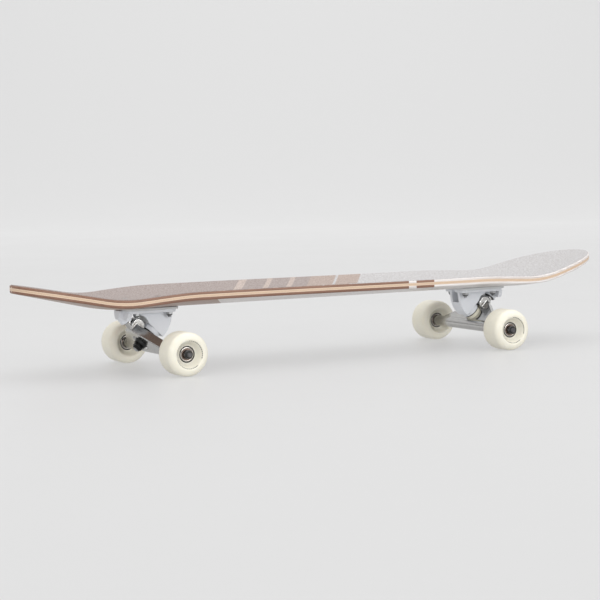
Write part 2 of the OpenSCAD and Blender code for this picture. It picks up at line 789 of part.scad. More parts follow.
module spacer() {
    color(metal) difference() {
        cylinder(h = spacer_len - 2 * spacer_slack, r = spacer_r, center = true, $fn = fine);
        cylinder(h = 2 * spacer_len, r = bearing_id / 2, center = true, $fn = fine);
    }
}

module speed_washers() {
    color(steel) for (z = [-core_w / 2 - speed_washer_t, core_w / 2]) translate([0, 0, z])
        washer(2 * speed_washer_r, bearing_id / 2, speed_washer_t);
}

module axle_nut() {
    collar_h = 2.2;
    color(steel) translate([0, 0, core_w / 2 + speed_washer_t]) difference() {
        union() {
            cylinder(h = axle_nut_h - collar_h, d = axle_nut_af / cos(30), $fn = 6);
            cylinder(h = axle_nut_h, d = axle_nut_af - 1.4, $fn = fine);
        }
        translate([0, 0, -eps])
            cylinder(h = axle_nut_h + 2 * eps, r = axle_d / 2 + seat_gap, $fn = fine);
    }
}

// ---------- nodes ----------

grip_sheet();
deck_ply_top();
deck_core();
deck_ply_bottom();
deck_bolts();
deck_nuts();

riser_pad(FRONT);  // front_riser_pad
truck(FRONT) baseplate();  // front_baseplate
truck(FRONT) pivot_cup();  // front_pivot_cup
truck(FRONT) kingpin();  // front_kingpin
truck(FRONT) kingpin_nut();  // front_kingpin_nut
truck(FRONT) cup_washers();  // front_cup_washers
truck(FRONT) bushing_board();  // front_bushing_board
truck(FRONT) bushing_road();  // front_bushing_road
truck(FRONT) hanger();  // front_hanger
truck(FRONT) axle();  // front_axle

riser_pad(REAR);  // rear_riser_pad
truck(REAR) baseplate();  // rear_baseplate
truck(REAR) pivot_cup();  // rear_pivot_cup
truck(REAR) kingpin();  // rear_kingpin
truck(REAR) kingpin_nut();  // rear_kingpin_nut
truck(REAR) cup_washers();  // rear_cup_washers
truck(REAR) bushing_board();  // rear_bushing_board
truck(REAR) bushing_road();  // rear_bushing_road
truck(REAR) hanger();  // rear_hanger
truck(REAR) axle();  // rear_axle

corner(FRONT, LEFT) wheel();  // front_left_wheel
corner(FRONT, LEFT) wheel_core();  // front_left_wheel_core
corner(FRONT, LEFT) bearing_shells();  // front_left_bearing_shells
corner(FRONT, LEFT) ball_cages();  // front_left_ball_cages
corner(FRONT, LEFT) bearing_cones();  // front_left_bearing_cones
corner(FRONT, LEFT) spacer();  // front_left_spacer
corner(FRONT, LEFT) speed_washers();  // front_left_speed_washers
corner(FRONT, LEFT) axle_nut();  // front_left_axle_nut

corner(FRONT, RIGHT) wheel();  // front_right_wheel
corner(FRONT, RIGHT) wheel_core();  // front_right_wheel_core
corner(FRONT, RIGHT) bearing_shells();  // front_right_bearing_shells
corner(FRONT, RIGHT) ball_cages();  // front_right_ball_cages
corner(FRONT, RIGHT) bearing_cones();  // front_right_bearing_cones
corner(FRONT, RIGHT) spacer();  // front_right_spacer
corner(FRONT, RIGHT) speed_washers();  // front_right_speed_washers
corner(FRONT, RIGHT) axle_nut();  // front_right_axle_nut

corner(REAR, LEFT) wheel();  // rear_left_wheel
corner(REAR, LEFT) wheel_core();  // rear_left_wheel_core
corner(REAR, LEFT) bearing_shells();  // rear_left_bearing_shells
corner(REAR, LEFT) ball_cages();  // rear_left_ball_cages
corner(REAR, LEFT) bearing_cones();  // rear_left_bearing_cones
corner(REAR, LEFT) spacer();  // rear_left_spacer
corner(REAR, LEFT) speed_washers();  // rear_left_speed_washers
corner(REAR, LEFT) axle_nut();  // rear_left_axle_nut

corner(REAR, RIGHT) wheel();  // rear_right_wheel
corner(REAR, RIGHT) wheel_core();  // rear_right_wheel_core
corner(REAR, RIGHT) bearing_shells();  // rear_right_bearing_shells
corner(REAR, RIGHT) ball_cages();  // rear_right_ball_cages
corner(REAR, RIGHT) bearing_cones();  // rear_right_bearing_cones
corner(REAR, RIGHT) spacer();  // rear_right_spacer
corner(REAR, RIGHT) speed_washers();  // rear_right_speed_washers
corner(REAR, RIGHT) axle_nut();  // rear_right_axle_nut
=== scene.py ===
"""Longboard skateboard: its visible pieces, their finishes and a plain studio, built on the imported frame."""
import math

import bmesh
import bpy
from bpy.props import FloatProperty, FloatVectorProperty, PointerProperty
from mathutils import Matrix, Vector


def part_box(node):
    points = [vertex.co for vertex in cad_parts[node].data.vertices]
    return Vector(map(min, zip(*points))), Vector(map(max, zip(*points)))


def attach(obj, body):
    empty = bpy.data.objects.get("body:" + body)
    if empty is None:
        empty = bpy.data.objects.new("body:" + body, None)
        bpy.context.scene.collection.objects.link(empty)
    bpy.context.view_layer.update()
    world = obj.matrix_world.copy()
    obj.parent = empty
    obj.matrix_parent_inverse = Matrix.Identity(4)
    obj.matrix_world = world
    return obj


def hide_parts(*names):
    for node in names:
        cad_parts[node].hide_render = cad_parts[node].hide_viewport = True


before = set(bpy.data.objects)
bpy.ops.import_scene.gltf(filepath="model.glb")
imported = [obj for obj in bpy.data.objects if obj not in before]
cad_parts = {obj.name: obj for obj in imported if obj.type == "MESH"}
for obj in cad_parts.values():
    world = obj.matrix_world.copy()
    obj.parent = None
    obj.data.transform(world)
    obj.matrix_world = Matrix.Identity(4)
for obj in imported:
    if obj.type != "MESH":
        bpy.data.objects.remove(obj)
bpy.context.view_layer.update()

bl_info = {
    "name": "Longboard skateboard",
    "version": (1, 0, 0),
    "blender": (4, 5, 0),
    "location": "3D View > Sidebar > Longboard",
    "description": "Builds a longboard's deck, trucks and wheels in place on their packed frame",
    "category": "Object",
}

MM = 0.001
FRONT, REAR = "front", "rear"
ENDS = ((FRONT, 1), (REAR, -1))
CORNERS = tuple((f"{end}_{hand}", end, y) for end, x in ENDS for hand, y in (("left", 1), ("right", -1)))


def linear(hex_colour):
    """An sRGB hex colour as linear red, green, blue and alpha."""
    parts = [int(hex_colour[i:i + 2], 16) / 255 for i in (0, 2, 4)]
    return (*[c / 12.92 if c <= 0.04045 else ((c + 0.055) / 1.055) ** 2.4 for c in parts], 1.0)


def centre(node):
    """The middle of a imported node's box."""
    low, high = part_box(node)
    return (low + high) / 2


AXLE = {end: centre(f"{end}_axle") for end, _ in ENDS}
MIDDLE_X = (AXLE[FRONT].x + AXLE[REAR].x) / 2
HALF_BASE = (AXLE[FRONT].x - AXLE[REAR].x) / 2
WHEEL_LOW, WHEEL_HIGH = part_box("front_left_wheel")
PLIES = ("deck_ply_bottom", "deck_core", "deck_ply_top", "grip_sheet")
PLY_LOW = {name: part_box(name)[0].z for name in PLIES}
DECK_Z = PLY_LOW["deck_ply_bottom"]

BAND_REACH = 600 * MM      # printed bands are placed within this distance of the midpoint between the axles
DRILL = (60, 140)          # heights in millimetres between which the deck is drilled
HEXAGON = math.cos(math.pi / 6)   # a hexagon's width across its flats over that across its corners
PITCH = 1.06               # thread pitch of the kingpins and axles, in millimetres


# ---------- sizes and colours that a user would change ----------

def length_of(name, description, millimetres):
    """A size, given in millimetres and kept in metres."""
    return FloatProperty(name=name, description=description, default=millimetres * MM, unit="LENGTH",
                         precision=5)


def angle_of(name, description, degrees):
    """An angle, given in degrees."""
    return FloatProperty(name=name, description=description, default=math.radians(degrees), subtype="ANGLE")


def colour_of(name, description, hex_colour):
    """A colour, given as an sRGB hex value."""
    return FloatVectorProperty(name=name, description=description, size=4, min=0, max=1,
                               default=linear(hex_colour), subtype="COLOR")


class LongboardDeck(bpy.types.PropertyGroup):
    """The deck's curves, its edges and the colours of its veneers."""

    nose_round: length_of("Nose round", "Length over which the nose narrows", 134.7)
    tail_round: length_of("Tail round", "Length over which the tail narrows", 199.5)
    nose_kick: length_of("Nose kick", "Start of the nose kick, ahead of the midpoint", 336)
    tail_kick: length_of("Tail kick", "Start of the tail kick, behind the midpoint", 341)
    nose_slope: angle_of("Nose slope", "Final slope of the nose kick", 15.5)
    tail_slope: angle_of("Tail slope", "Final slope of the tail kick", 13)
    kick_radius: length_of("Kick radius", "Bend radius of both kicks", 260)
    rail_front: length_of("Front concave", "Rail height behind the front truck", 11.6)
    rail_rear: length_of("Rear concave", "Rail height ahead of the rear truck", 14)
    rail_kick: length_of("Kick concave", "Rail height on the kicks", 6.5)
    full_concave: length_of("Full concave", "Distance inboard of the axles where the rails are highest", 40)
    end_concave: length_of("Concave end", "Distance outboard of the axles where the rails are lowest", 100)
    edge_radius: length_of("Edge radius", "Rounding of the deck's edges", 2)
    groove: length_of("Glue line groove", "Depth of the glue lines in the sanded edge", 0.12)
    slant: FloatProperty(name="Slant", description="How far the stain's bands run ahead per step across",
                         default=0.605)
    maple: colour_of("Maple", "Sanded veneer edge", "E6CDB4")
    cross_maple: colour_of("Cross veneer", "Veneer edge cut across its grain", "DCBFA2")
    glue: colour_of("Glue line", "Line between two veneers", "B7937A")
    stain: colour_of("Stain", "Brown stained veneers", "85614E")
    under: colour_of("Underside stain", "Brown underside", "A38A7C")
    white: colour_of("White stain", "White part of the face veneers", "E4E0DE")


class LongboardGrip(bpy.types.PropertyGroup):
    """The printed grit sheet."""

    slant: FloatProperty(name="Slant", description="How far the bands run ahead for each step across",
                         default=0.704)
    grain: length_of("Grain", "Size of a grit grain, drawn coarse enough to show", 0.9)
    dark: colour_of("Ground", "Ground colour towards the tail", "B9B0AD")
    thin: colour_of("Thin stripes", "Narrow stripes", "D6CAC3")
    band: colour_of("Band", "Wide band", "C8BAB2")
    silver: colour_of("Silver", "Field towards the nose", "DADCDE")
    hole: length_of("Head hole", "Diameter of the holes round the bolt heads", 9.6)


class LongboardTruck(bpy.types.PropertyGroup):
    """The stack on the kingpin and the fasteners, with the trucks' colours."""

    kingpin: length_of("Kingpin", "Kingpin diameter", 9.52)
    bushing: length_of("Bushing", "Diameter of the bushings at the hanger", 25)
    board_bushing: length_of("Boardside bushing", "Its height", 12)
    road_bushing: length_of("Roadside bushing", "Its height", 7.5)
    road_end: length_of("Roadside bushing end", "Its smaller diameter", 17)
    washer: length_of("Cup washer", "Thickness of the cup washers", 1.5)
    web: length_of("Hanger wall", "Hanger between the bushings", 3.5)
    nut_flats: length_of("Kingpin nut", "Width across its flats", 13)
    head_flats: length_of("Kingpin head", "Width across its flats", 14.3)
    nut_height: length_of("Kingpin nut height", "Its height", 7)
    axle: length_of("Axle", "Axle diameter", 7.94)
    axle_nut_flats: length_of("Axle nut", "Width across its flats", 12.7)
    bolt: length_of("Deck bolt", "Thread diameter", 4.8)
    bolt_head: length_of("Bolt head", "Head diameter", 9)
    bolt_spacing: length_of("Bolt spacing", "Between a truck's bolts, along the board", 54)
    bolt_nut_flats: length_of("Deck nut", "Width across its flats", 9.5)
    casting_voxel: length_of("Casting grid", "Grid on which the castings' corners are rounded", 0.55)
    paint: colour_of("Paint", "Powder coat of the baseplates", "E2E5EA")
    aluminium: colour_of("Aluminium", "Polished hangers", "C9C8C6")
    zinc: colour_of("Zinc", "Plated fasteners", "B4B5B6")
    axle_grey: colour_of("Axle grey", "Axles and their nuts", "626163")
    riser: colour_of("Riser", "Pads under the deck", "D9DBDC")
    cream: colour_of("Cream bushing", "Boardside bushings", "EFEBD9")
    black: colour_of("Black", "Black steel, nylon and urethane", "121314")


class LongboardWheel(bpy.types.PropertyGroup):
    """The wheels and their bearings."""

    lip: length_of("Lip radius", "Rounding of the wheels' lips", 10)
    core: length_of("Core", "Diameter of the hub core", 24.8)
    core_width: length_of("Core width", "Width over both bearings", 24)
    bearing: length_of("Bearing", "Bearing diameter", 22)
    bearing_width: length_of("Bearing width", "Width of a bearing", 7)
    race: length_of("Outer race bore", "Inner diameter of the outer race", 18.192)
    cone: length_of("Inner race", "Outer diameter of the inner race", 11.808)
    ball: length_of("Ball", "Ball diameter", 3.8)
    print_ring: length_of("Print ring", "Radius of the printed ring", 20.4)
    urethane: colour_of("Urethane", "Cast wheels", "E9E5D6")
    ink: colour_of("Ink", "Printed ring", "55554F")
    steel: colour_of("Race steel", "Bearing races", "BBB6B0")
    shield: colour_of("Shield", "Bearing shields", "8C7A70")


class LongboardStudio(bpy.types.PropertyGroup):
    """Camera, floor and lights."""

    distance_x: length_of("Camera X", "Camera from the point between the axles", -1467.9)
    distance_y: length_of("Camera Y", "Camera from the point between the axles", -2617.4)
    height: length_of("Camera height", "Camera above the floor", 338.3)
    heading: angle_of("Heading", "Camera heading from +X towards +Y", 61.232)
    pitch: angle_of("Pitch", "Camera tilt below the horizon", 4.753)
    roll: angle_of("Roll", "Camera roll", -1.0)
    lens: FloatProperty(name="Lens", description="Focal length on a 36 mm sensor", default=114.67,
                        unit="CAMERA")
    floor: colour_of("Floor", "Floor and backdrop", "808080")
    glow: FloatProperty(name="Floor glow", description="Light that the lit acrylic floor gives", default=0.4)


GROUPS = {
    "longboard_deck": LongboardDeck, "longboard_grip": LongboardGrip, "longboard_truck": LongboardTruck,
    "longboard_wheel": LongboardWheel, "longboard_studio": LongboardStudio,
}


# ---------- meshes ----------

def new_piece(name, mesh, materials, place=None):
    """An object in the scene with its materials, placed by a matrix."""
    piece = bpy.data.objects.new(name, mesh)
    bpy.context.scene.collection.objects.link(piece)
    if not mesh.materials:
        for material in materials:
            mesh.materials.append(material)
    piece.matrix_world = place or Matrix.Identity(4)
    return piece


def settle(mesh, angle=32):
    """Smooth shading, with creases where faces meet sharper than the angle."""
    mesh.shade_smooth()
    mesh.set_sharp_from_angle(angle=math.radians(angle))
    return mesh


def eased(outline, radius, steps=3):
    """A closed outline with each corner off the axis turned into a small curve."""
    points = []
    for i, corner in enumerate(outline):
        here = Vector(corner)
        if here.x == 0:
            points.append(here)
            continue
        back, ahead = Vector(outline[i - 1]) - here, Vector(outline[(i + 1) % len(outline)]) - here
        reach = min(radius, back.length / 2.1, ahead.length / 2.1)
        start, end = here + back.normalized() * reach, here + ahead.normalized() * reach
        for k in range(steps + 1):
            t = k / steps
            points.append(start * (1 - t) ** 2 + here * 2 * t * (1 - t) + end * t * t)
    return points


def arc(x, z, radius, first, last, steps):
    """Points of an arc, from one angle to another in degrees."""
    angles = [math.radians(first + (last - first) * k / steps) for k in range(steps + 1)]
    return [Vector((x + radius * math.cos(a), z + radius * math.sin(a))) for a in angles]


def turn(bm, outline, steps=96, flats=0, flats_to=1e9, place=None, material=0):
    """Turns an outline of (radius, height) about Z; flats cuts a hexagon out to the radius flats_to."""
    rings = []
    for radius, height in outline:
        if radius < 1e-9:
            rings.append([bm.verts.new((0, 0, height))])
            continue
        ring = []
        for k in range(steps):
            angle = 2 * math.pi * k / steps
            reach = radius
            if flats and radius <= flats_to:
                reach = min(radius, flats / 2 / math.cos(angle % (math.pi / 3) - math.pi / 6))
            ring.append(bm.verts.new((reach * math.cos(angle), reach * math.sin(angle), height)))
        rings.append(ring)
    made = [v for ring in rings for v in ring]
    for i, ring in enumerate(rings):
        other = rings[(i + 1) % len(rings)]
        if len(ring) == 1 and len(other) == 1:
            continue
        for k in range(steps):
            n = (k + 1) % steps
            corners = [ring[k % len(ring)], ring[n % len(ring)],
                       other[n % len(other)], other[k % len(other)]]
            face = bm.faces.new(list(dict.fromkeys(corners)))
            face.material_index = material
    if place is not None:
        bmesh.ops.transform(bm, matrix=place, verts=made)
    return made


def turned(name, *solids, place=None, copies=(Matrix.Identity(4),), angle=32):
    """A mesh of turned solids, each given as the arguments of turn, repeated at each copy's place."""
    bm = bmesh.new()
    for copy in copies:
        for solid in solids:
            own = copy @ solid.get("place", Matrix.Identity(4))
            turn(bm, **{**solid, "place": own})
    bmesh.ops.recalc_face_normals(bm, faces=bm.faces)
    bmesh.ops.scale(bm, vec=(MM, MM, MM), verts=bm.verts)
    mesh = bpy.data.meshes.new(name)
    bm.to_mesh(mesh)
    bm.free()
    return settle(mesh, angle)


def thread(radius, low, high, pitch, depth):
    """The zigzag of a thread's rings along a rod, going up."""
    turns = max(1, round((high - low) / pitch))
    step = (high - low) / turns
    rings = []
    for k in range(turns):
        rings += [Vector((radius - depth, low + step * (k + 0.05))),
                  Vector((radius, low + step * (k + 0.45))),
                  Vector((radius, low + step * (k + 0.6)))]
    return rings


def up(outline, shift):
    """An outline moved along its axis."""
    return [Vector((r, z + shift)) for r, z in outline]


def mirrored(outline):
    """An outline's other half, across height zero."""
    return [Vector((p.x, -p.y)) for p in reversed(outline)]


def lock_nut(bore, flats, height, collar, chamfer, inset, rounding, at):
    """The hexagon and the nylon collar of a lock nut, as solids to turn."""
    corner, shoulder, rim = flats / 2 / HEXAGON, height - collar, flats / 2 - inset
    hexed = [(bore, 0), (flats / 2 - 0.2, 0), (corner, chamfer), (corner, shoulder - 0.8),
             (flats / 2 - 0.1, shoulder), (bore, shoulder)]
    ring = [(bore, shoulder + 0.01), (rim, shoulder + 0.01), (rim, height - 0.7),
            (flats / 2 - 1.6, height), (bore, height - 0.1)]
    return ({"outline": up(eased(hexed, rounding, 2), at), "flats": flats},
            {"outline": up(eased(ring, rounding + 0.15, 2), at), "material": 1})


def along(point, direction):
    """A matrix at a point in metres, with Z along a direction."""
    return Matrix.Translation(point) @ direction.to_track_quat("Z", "Y").to_matrix().to_4x4()


def cast_body(name, node, voxel, passes):
    """A casting: the node's solid with its edges and inner corners rounded as a mould leaves them."""
    bm = bmesh.new()
    bm.from_mesh(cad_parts[node].data)
    bmesh.ops.remove_doubles(bm, verts=bm.verts, dist=1e-6)
    rough = bpy.data.meshes.new(name)
    bm.to_mesh(rough)
    bm.free()
    body = bpy.data.objects.new(name, rough)
    bpy.context.scene.collection.objects.link(body)
    grid = body.modifiers.new("grid", "REMESH")
    grid.mode = "VOXEL"
    grid.voxel_size = voxel
    ease = body.modifiers.new("ease", "SMOOTH")
    ease.factor = 0.5
    ease.iterations = passes
    bpy.context.view_layer.update()
    mesh = bpy.data.meshes.new_from_object(body.evaluated_get(bpy.context.evaluated_depsgraph_get()))
    bpy.data.objects.remove(body)
    bpy.data.meshes.remove(rough)
    mesh.name = name
    mesh.materials.clear()
    mesh.shade_smooth()
    return mesh


# ---------- materials ----------

def add(tree, kind, inputs=None, **settings):
    """Adds a node with its settings; an input is a plain value, a node or a node's output."""
    node = tree.nodes.new(kind)
    for name, value in settings.items():
        setattr(node, name, value)
    for socket, value in (inputs or {}).items():
        if isinstance(value, bpy.types.Node):
            value = value.outputs[0]
        if isinstance(value, bpy.types.NodeSocket):
            tree.links.new(value, node.inputs[socket])
        else:
            node.inputs[socket].default_value = value
    return node


def finish_of(name, **sockets):
    """A material, its tree and its shader, with the shader's own values set."""
    material = bpy.data.materials.new(name)
    material.use_nodes = True
    shader = material.node_tree.nodes["Principled BSDF"]
    for socket, value in sockets.items():
        shader.inputs[socket.replace("_", " ")].default_value = value
    return material, material.node_tree, shader


def set_ramp(node, stops, interpolation="LINEAR"):
    """Gives a colour ramp its stops, as (position, colour)."""
    ramp = node.color_ramp
    ramp.interpolation = interpolation
    while len(ramp.elements) > len(stops):
        ramp.elements.remove(ramp.elements[-1])
    while len(ramp.elements) < len(stops):
        ramp.elements.new(1.0)
    for element, (position, colour) in zip(ramp.elements, stops):
        element.position = position
        element.color = colour
    return node


def dulled(colour, share):
    """A colour darkened by a share."""
    return (*[c * (1 - share) for c in colour[:3]], 1.0)


def varied(tree, shader, marks, colour, spread, roughness=None):
    """Lets a pattern darken a colour by up to a share, and set the roughness between two values."""
    tint = add(tree, "ShaderNodeMix", {0: marks, 6: dulled(colour, spread), 7: colour[:]}, data_type="RGBA")
    tree.links.new(tint.outputs[2], shader.inputs["Base Color"])
    if roughness:
        low, high = roughness
        gloss = add(tree, "ShaderNodeMapRange", {"Value": marks, "To Min": low, "To Max": high})
        tree.links.new(gloss.outputs[0], shader.inputs["Roughness"])


def speckled(tree, shader, position, colour, size, spread, bump=0.0, distance=0.0, roughness=None):
    """Varies a surface over marks of one size in metres: its colour, its roughness and its relief."""
    marks = add(tree, "ShaderNodeTexNoise", {"Vector": position, "Scale": 1 / size, "Detail": 4.0,
                                             "Roughness": 0.6})
    varied(tree, shader, marks, colour, spread, roughness)
    if bump:
        relief = add(tree, "ShaderNodeBump", {"Height": marks, "Strength": bump, "Distance": distance})
        tree.links.new(relief.outputs[0], shader.inputs["Normal"])


def slanted_bands(tree, position, slant, bands, ragged=0.0):
    """Flat colours in slanted bands, each as (start ahead of the midpoint in millimetres, colour).

    ragged is how far, in metres, a band's edge wanders.
    """
    parts = add(tree, "ShaderNodeSeparateXYZ", {"Vector": position})
    line = add(tree, "ShaderNodeMath", {0: parts.outputs["Y"], 1: -slant, 2: parts.outputs["X"]},
               operation="MULTIPLY_ADD")
    if ragged:
        noise = add(tree, "ShaderNodeTexNoise", {"Vector": position, "Scale": 1 / ragged, "Detail": 2.0})
        line = add(tree, "ShaderNodeMath", {0: noise, 1: ragged, 2: line}, operation="MULTIPLY_ADD")
    span = add(tree, "ShaderNodeMapRange", {"Value": line, "From Min": MIDDLE_X - BAND_REACH,
                                            "From Max": MIDDLE_X + BAND_REACH})
    stops = [((start * MM + BAND_REACH) / (2 * BAND_REACH), colour) for start, colour in bands]
    return set_ramp(add(tree, "ShaderNodeValToRGB", {"Fac": span}), stops, "CONSTANT")


def grit_sheet_finish(s):
    """Silicon carbide grit bonded to a printed sheet: matt, sparkling grains over diagonal bands, with painted
    shade in the gaps between the grains.
    """
    material, tree, shader = finish_of("silicon_carbide_grit_printed", Roughness=0.82,
                                       Specular_IOR_Level=0.35)
    position = add(tree, "ShaderNodeTexCoord").outputs["Object"]
    # Bands from tail to nose
    bands = ((-600, s.dark), (-157, s.thin), (-145, s.dark), (-107, s.thin), (-97, s.dark),
             (-65, s.thin), (-55, s.dark), (-25, s.band), (19, s.silver), (27, s.band), (66, s.silver))
    printed = slanted_bands(tree, position, s.slant, bands, ragged=1.4 * s.grain)
    grains = add(tree, "ShaderNodeTexVoronoi", {"Vector": position, "Scale": 1 / s.grain})
    shade = add(tree, "ShaderNodeTexNoise", {"Vector": position, "Scale": 1 / (2.2 * s.grain),
                                             "Detail": 3.0})
    mottle = set_ramp(add(tree, "ShaderNodeValToRGB", {"Fac": shade}),
                      [(0.36, linear("C9C4C2")), (0.62, linear("FFFFFF"))])
    tint = add(tree, "ShaderNodeMix", {0: 0.75, 6: printed, 7: mottle}, data_type="RGBA",
               blend_type="MULTIPLY")
    # Painted shade: the colour darkens away from each grain's middle, so the low gaps between the raised
    # grains are darker
    painted_gap_shade = set_ramp(add(tree, "ShaderNodeValToRGB", {"Fac": grains.outputs["Distance"]}),
                          [(0.05, linear("FFFFFF")), (0.6, linear("D8D2CF"))])
    full = add(tree, "ShaderNodeMix", {0: 0.8, 6: tint.outputs[2], 7: painted_gap_shade}, data_type="RGBA",
               blend_type="MULTIPLY")
    tree.links.new(full.outputs[2], shader.inputs["Base Color"])
    relief = add(tree, "ShaderNodeBump", {"Height": grains.outputs["Distance"], "Strength": 0.55,
                                          "Distance": 0.35 * MM}, invert=True)
    tree.links.new(relief.outputs[0], shader.inputs["Normal"])
    return material


def veneer_finish(name, colour, grain_along):
    """Rotary cut maple, sanded and lacquered: fine pores along the grain, satin gloss."""
    material, tree, shader = finish_of(name, Roughness=0.42, IOR=1.5, Coat_Weight=0.15, Coat_Roughness=0.25)
    position = add(tree, "ShaderNodeTexCoord").outputs["Object"]
    # Grain is 0.8 mm wide and 40 mm long where it runs along the edge, and short dots where it is cut across
    size = (40 * MM, 0.8 * MM, 0.8 * MM) if grain_along else (1.2 * MM, 1.2 * MM, 0.8 * MM)
    stretched = add(tree, "ShaderNodeMapping", {"Vector": position, "Scale": [1 / c for c in size]})
    fibres = add(tree, "ShaderNodeTexNoise", {"Vector": stretched, "Scale": 1.0, "Detail": 3.0})
    varied(tree, shader, fibres, colour, 0.28)
    relief = add(tree, "ShaderNodeBump", {"Height": fibres, "Strength": 0.25, "Distance": 0.1 * MM})
    tree.links.new(relief.outputs[0], shader.inputs["Normal"])
    return material


def stained_finish(s, slant, name, stops):
    """Face veneer stained before pressing: open grain shows through bands of brown and white."""
    material, tree, shader = finish_of(name, Roughness=0.45, IOR=1.5, Coat_Weight=0.2, Coat_Roughness=0.2)
    position = add(tree, "ShaderNodeTexCoord").outputs["Object"]
    bands = slanted_bands(tree, position, slant, stops)
    # Grain lines 1.5 mm apart and 60 mm long
    grain = [1 / (60 * MM), 1 / (1.5 * MM), 1 / (1.5 * MM)]
    stretched = add(tree, "ShaderNodeMapping", {"Vector": position, "Scale": grain})
    fibres = add(tree, "ShaderNodeTexNoise", {"Vector": stretched, "Scale": 1.0, "Detail": 4.0})
    open_grain = set_ramp(add(tree, "ShaderNodeValToRGB", {"Fac": fibres}),
                          [(0.3, linear("C8BDB6")), (0.6, linear("FFFFFF"))])
    tint = add(tree, "ShaderNodeMix", {0: 0.7, 6: bands, 7: open_grain}, data_type="RGBA",
               blend_type="MULTIPLY")
    tree.links.new(tint.outputs[2], shader.inputs["Base Color"])
    relief = add(tree, "ShaderNodeBump", {"Height": fibres, "Strength": 0.2, "Distance": 0.08 * MM})
    tree.links.new(relief.outputs[0], shader.inputs["Normal"])
    return material


def plain_finish(name, colour, size, spread, roughness, bump=0.0, relief=0.05, **sockets):
    """A material whose colour, gloss and relief vary over marks of one size in millimetres."""
    material, tree, shader = finish_of(name, **sockets)
    position = add(tree, "ShaderNodeTexCoord").outputs["Object"]
    speckled(tree, shader, position, colour, size * MM, spread, bump, relief * MM, roughness)
    return material


def polished_finish(s):
    """Cast aluminium, tumbled and polished: bright, with fine polishing lines and soft waves."""
    material, tree, shader = finish_of("aluminium_cast_polished", Metallic=1.0)
    position = add(tree, "ShaderNodeTexCoord").outputs["Object"]
    # The casting's waves are 9 mm across
    waves = add(tree, "ShaderNodeTexNoise", {"Vector": position, "Scale": 1 / (9 * MM), "Detail": 2.0})
    # Polishing lines 0.35 mm apart and 20 mm long run across the hanger
    spacing = [1 / (0.35 * MM), 1 / (20 * MM), 1 / (0.35 * MM)]
    drawn = add(tree, "ShaderNodeMapping", {"Vector": position, "Scale": spacing})
    lines = add(tree, "ShaderNodeTexNoise", {"Vector": drawn, "Scale": 1.0, "Detail": 3.0})
    varied(tree, shader, waves, s.aluminium, 0.16)
    gloss = add(tree, "ShaderNodeMapRange", {"Value": lines, "To Min": 0.1, "To Max": 0.26})
    tree.links.new(gloss.outputs[0], shader.inputs["Roughness"])
    swell = add(tree, "ShaderNodeBump", {"Height": waves, "Strength": 0.2, "Distance": 0.15 * MM})
    relief = add(tree, "ShaderNodeBump", {"Height": lines, "Strength": 0.08, "Distance": 0.02 * MM,
                                          "Normal": swell})
    tree.links.new(relief.outputs[0], shader.inputs["Normal"])
    return material


def wheel_finish(s):
    """Poured urethane, turned on a lathe: satin, slightly translucent, with a printed ring of dashes."""
    material, tree, shader = finish_of("urethane_poured_turned", IOR=1.5, Subsurface_Weight=0.12,
                                       Subsurface_Radius=(0.004, 0.0035, 0.0025), Subsurface_Scale=1.0)
    position = add(tree, "ShaderNodeTexCoord").outputs["Object"]
    parts = add(tree, "ShaderNodeSeparateXYZ", {"Vector": position})
    flat = add(tree, "ShaderNodeCombineXYZ", {"X": parts.outputs["X"], "Y": parts.outputs["Y"]})
    radius = add(tree, "ShaderNodeVectorMath", {0: flat}, operation="LENGTH").outputs["Value"]
    cloud = add(tree, "ShaderNodeTexNoise", {"Vector": position, "Scale": 1 / (12 * MM), "Detail": 3.0})
    base = add(tree, "ShaderNodeMix", {0: cloud, 6: dulled(s.urethane, 0.07), 7: s.urethane[:]},
               data_type="RGBA")
    # The ring is 1 mm wide, on the outer face only, and its dashes come from two beats round the wheel
    off_ring = add(tree, "ShaderNodeMath", {0: radius, 1: s.print_ring}, operation="SUBTRACT")
    near_ring = add(tree, "ShaderNodeMath", {0: off_ring}, operation="ABSOLUTE")
    on_ring = add(tree, "ShaderNodeMath", {0: near_ring, 1: 0.5 * MM}, operation="LESS_THAN")
    outside = add(tree, "ShaderNodeMath", {0: parts.outputs["Z"], 1: 0.0}, operation="GREATER_THAN")
    angle = add(tree, "ShaderNodeMath", {0: parts.outputs["Y"], 1: parts.outputs["X"]}, operation="ARCTAN2")
    long_beat = add(tree, "ShaderNodeMath", {0: angle, 1: 2.5}, operation="MULTIPLY")
    long_wave = add(tree, "ShaderNodeMath", {0: long_beat}, operation="SINE")
    long_dash = add(tree, "ShaderNodeMath", {0: long_wave, 1: -0.8}, operation="GREATER_THAN")
    short_beat = add(tree, "ShaderNodeMath", {0: angle, 1: 42.0}, operation="MULTIPLY")
    short_wave = add(tree, "ShaderNodeMath", {0: short_beat}, operation="SINE")
    short_dash = add(tree, "ShaderNodeMath", {0: short_wave, 1: -0.7}, operation="GREATER_THAN")
    inked = on_ring
    for mask in (outside, long_dash, short_dash):
        inked = add(tree, "ShaderNodeMath", {0: inked, 1: mask}, operation="MULTIPLY")
    faded = add(tree, "ShaderNodeMath", {0: inked, 1: 0.9}, operation="MULTIPLY")
    tint = add(tree, "ShaderNodeMix", {0: faded, 6: base.outputs[2], 7: s.ink[:]}, data_type="RGBA")
    tree.links.new(tint.outputs[2], shader.inputs["Base Color"])
    # Turning rings 0.4 mm apart
    rings = add(tree, "ShaderNodeMath", {0: radius, 1: 2 * math.pi / (0.4 * MM)}, operation="MULTIPLY")
    ripple = add(tree, "ShaderNodeMath", {0: rings}, operation="SINE")
    relief = add(tree, "ShaderNodeBump", {"Height": ripple, "Strength": 0.05, "Distance": 0.02 * MM})
    tree.links.new(relief.outputs[0], shader.inputs["Normal"])
    gloss = add(tree, "ShaderNodeMapRange", {"Value": cloud, "To Min": 0.36, "To Max": 0.5})
    tree.links.new(gloss.outputs[0], shader.inputs["Roughness"])
    return material


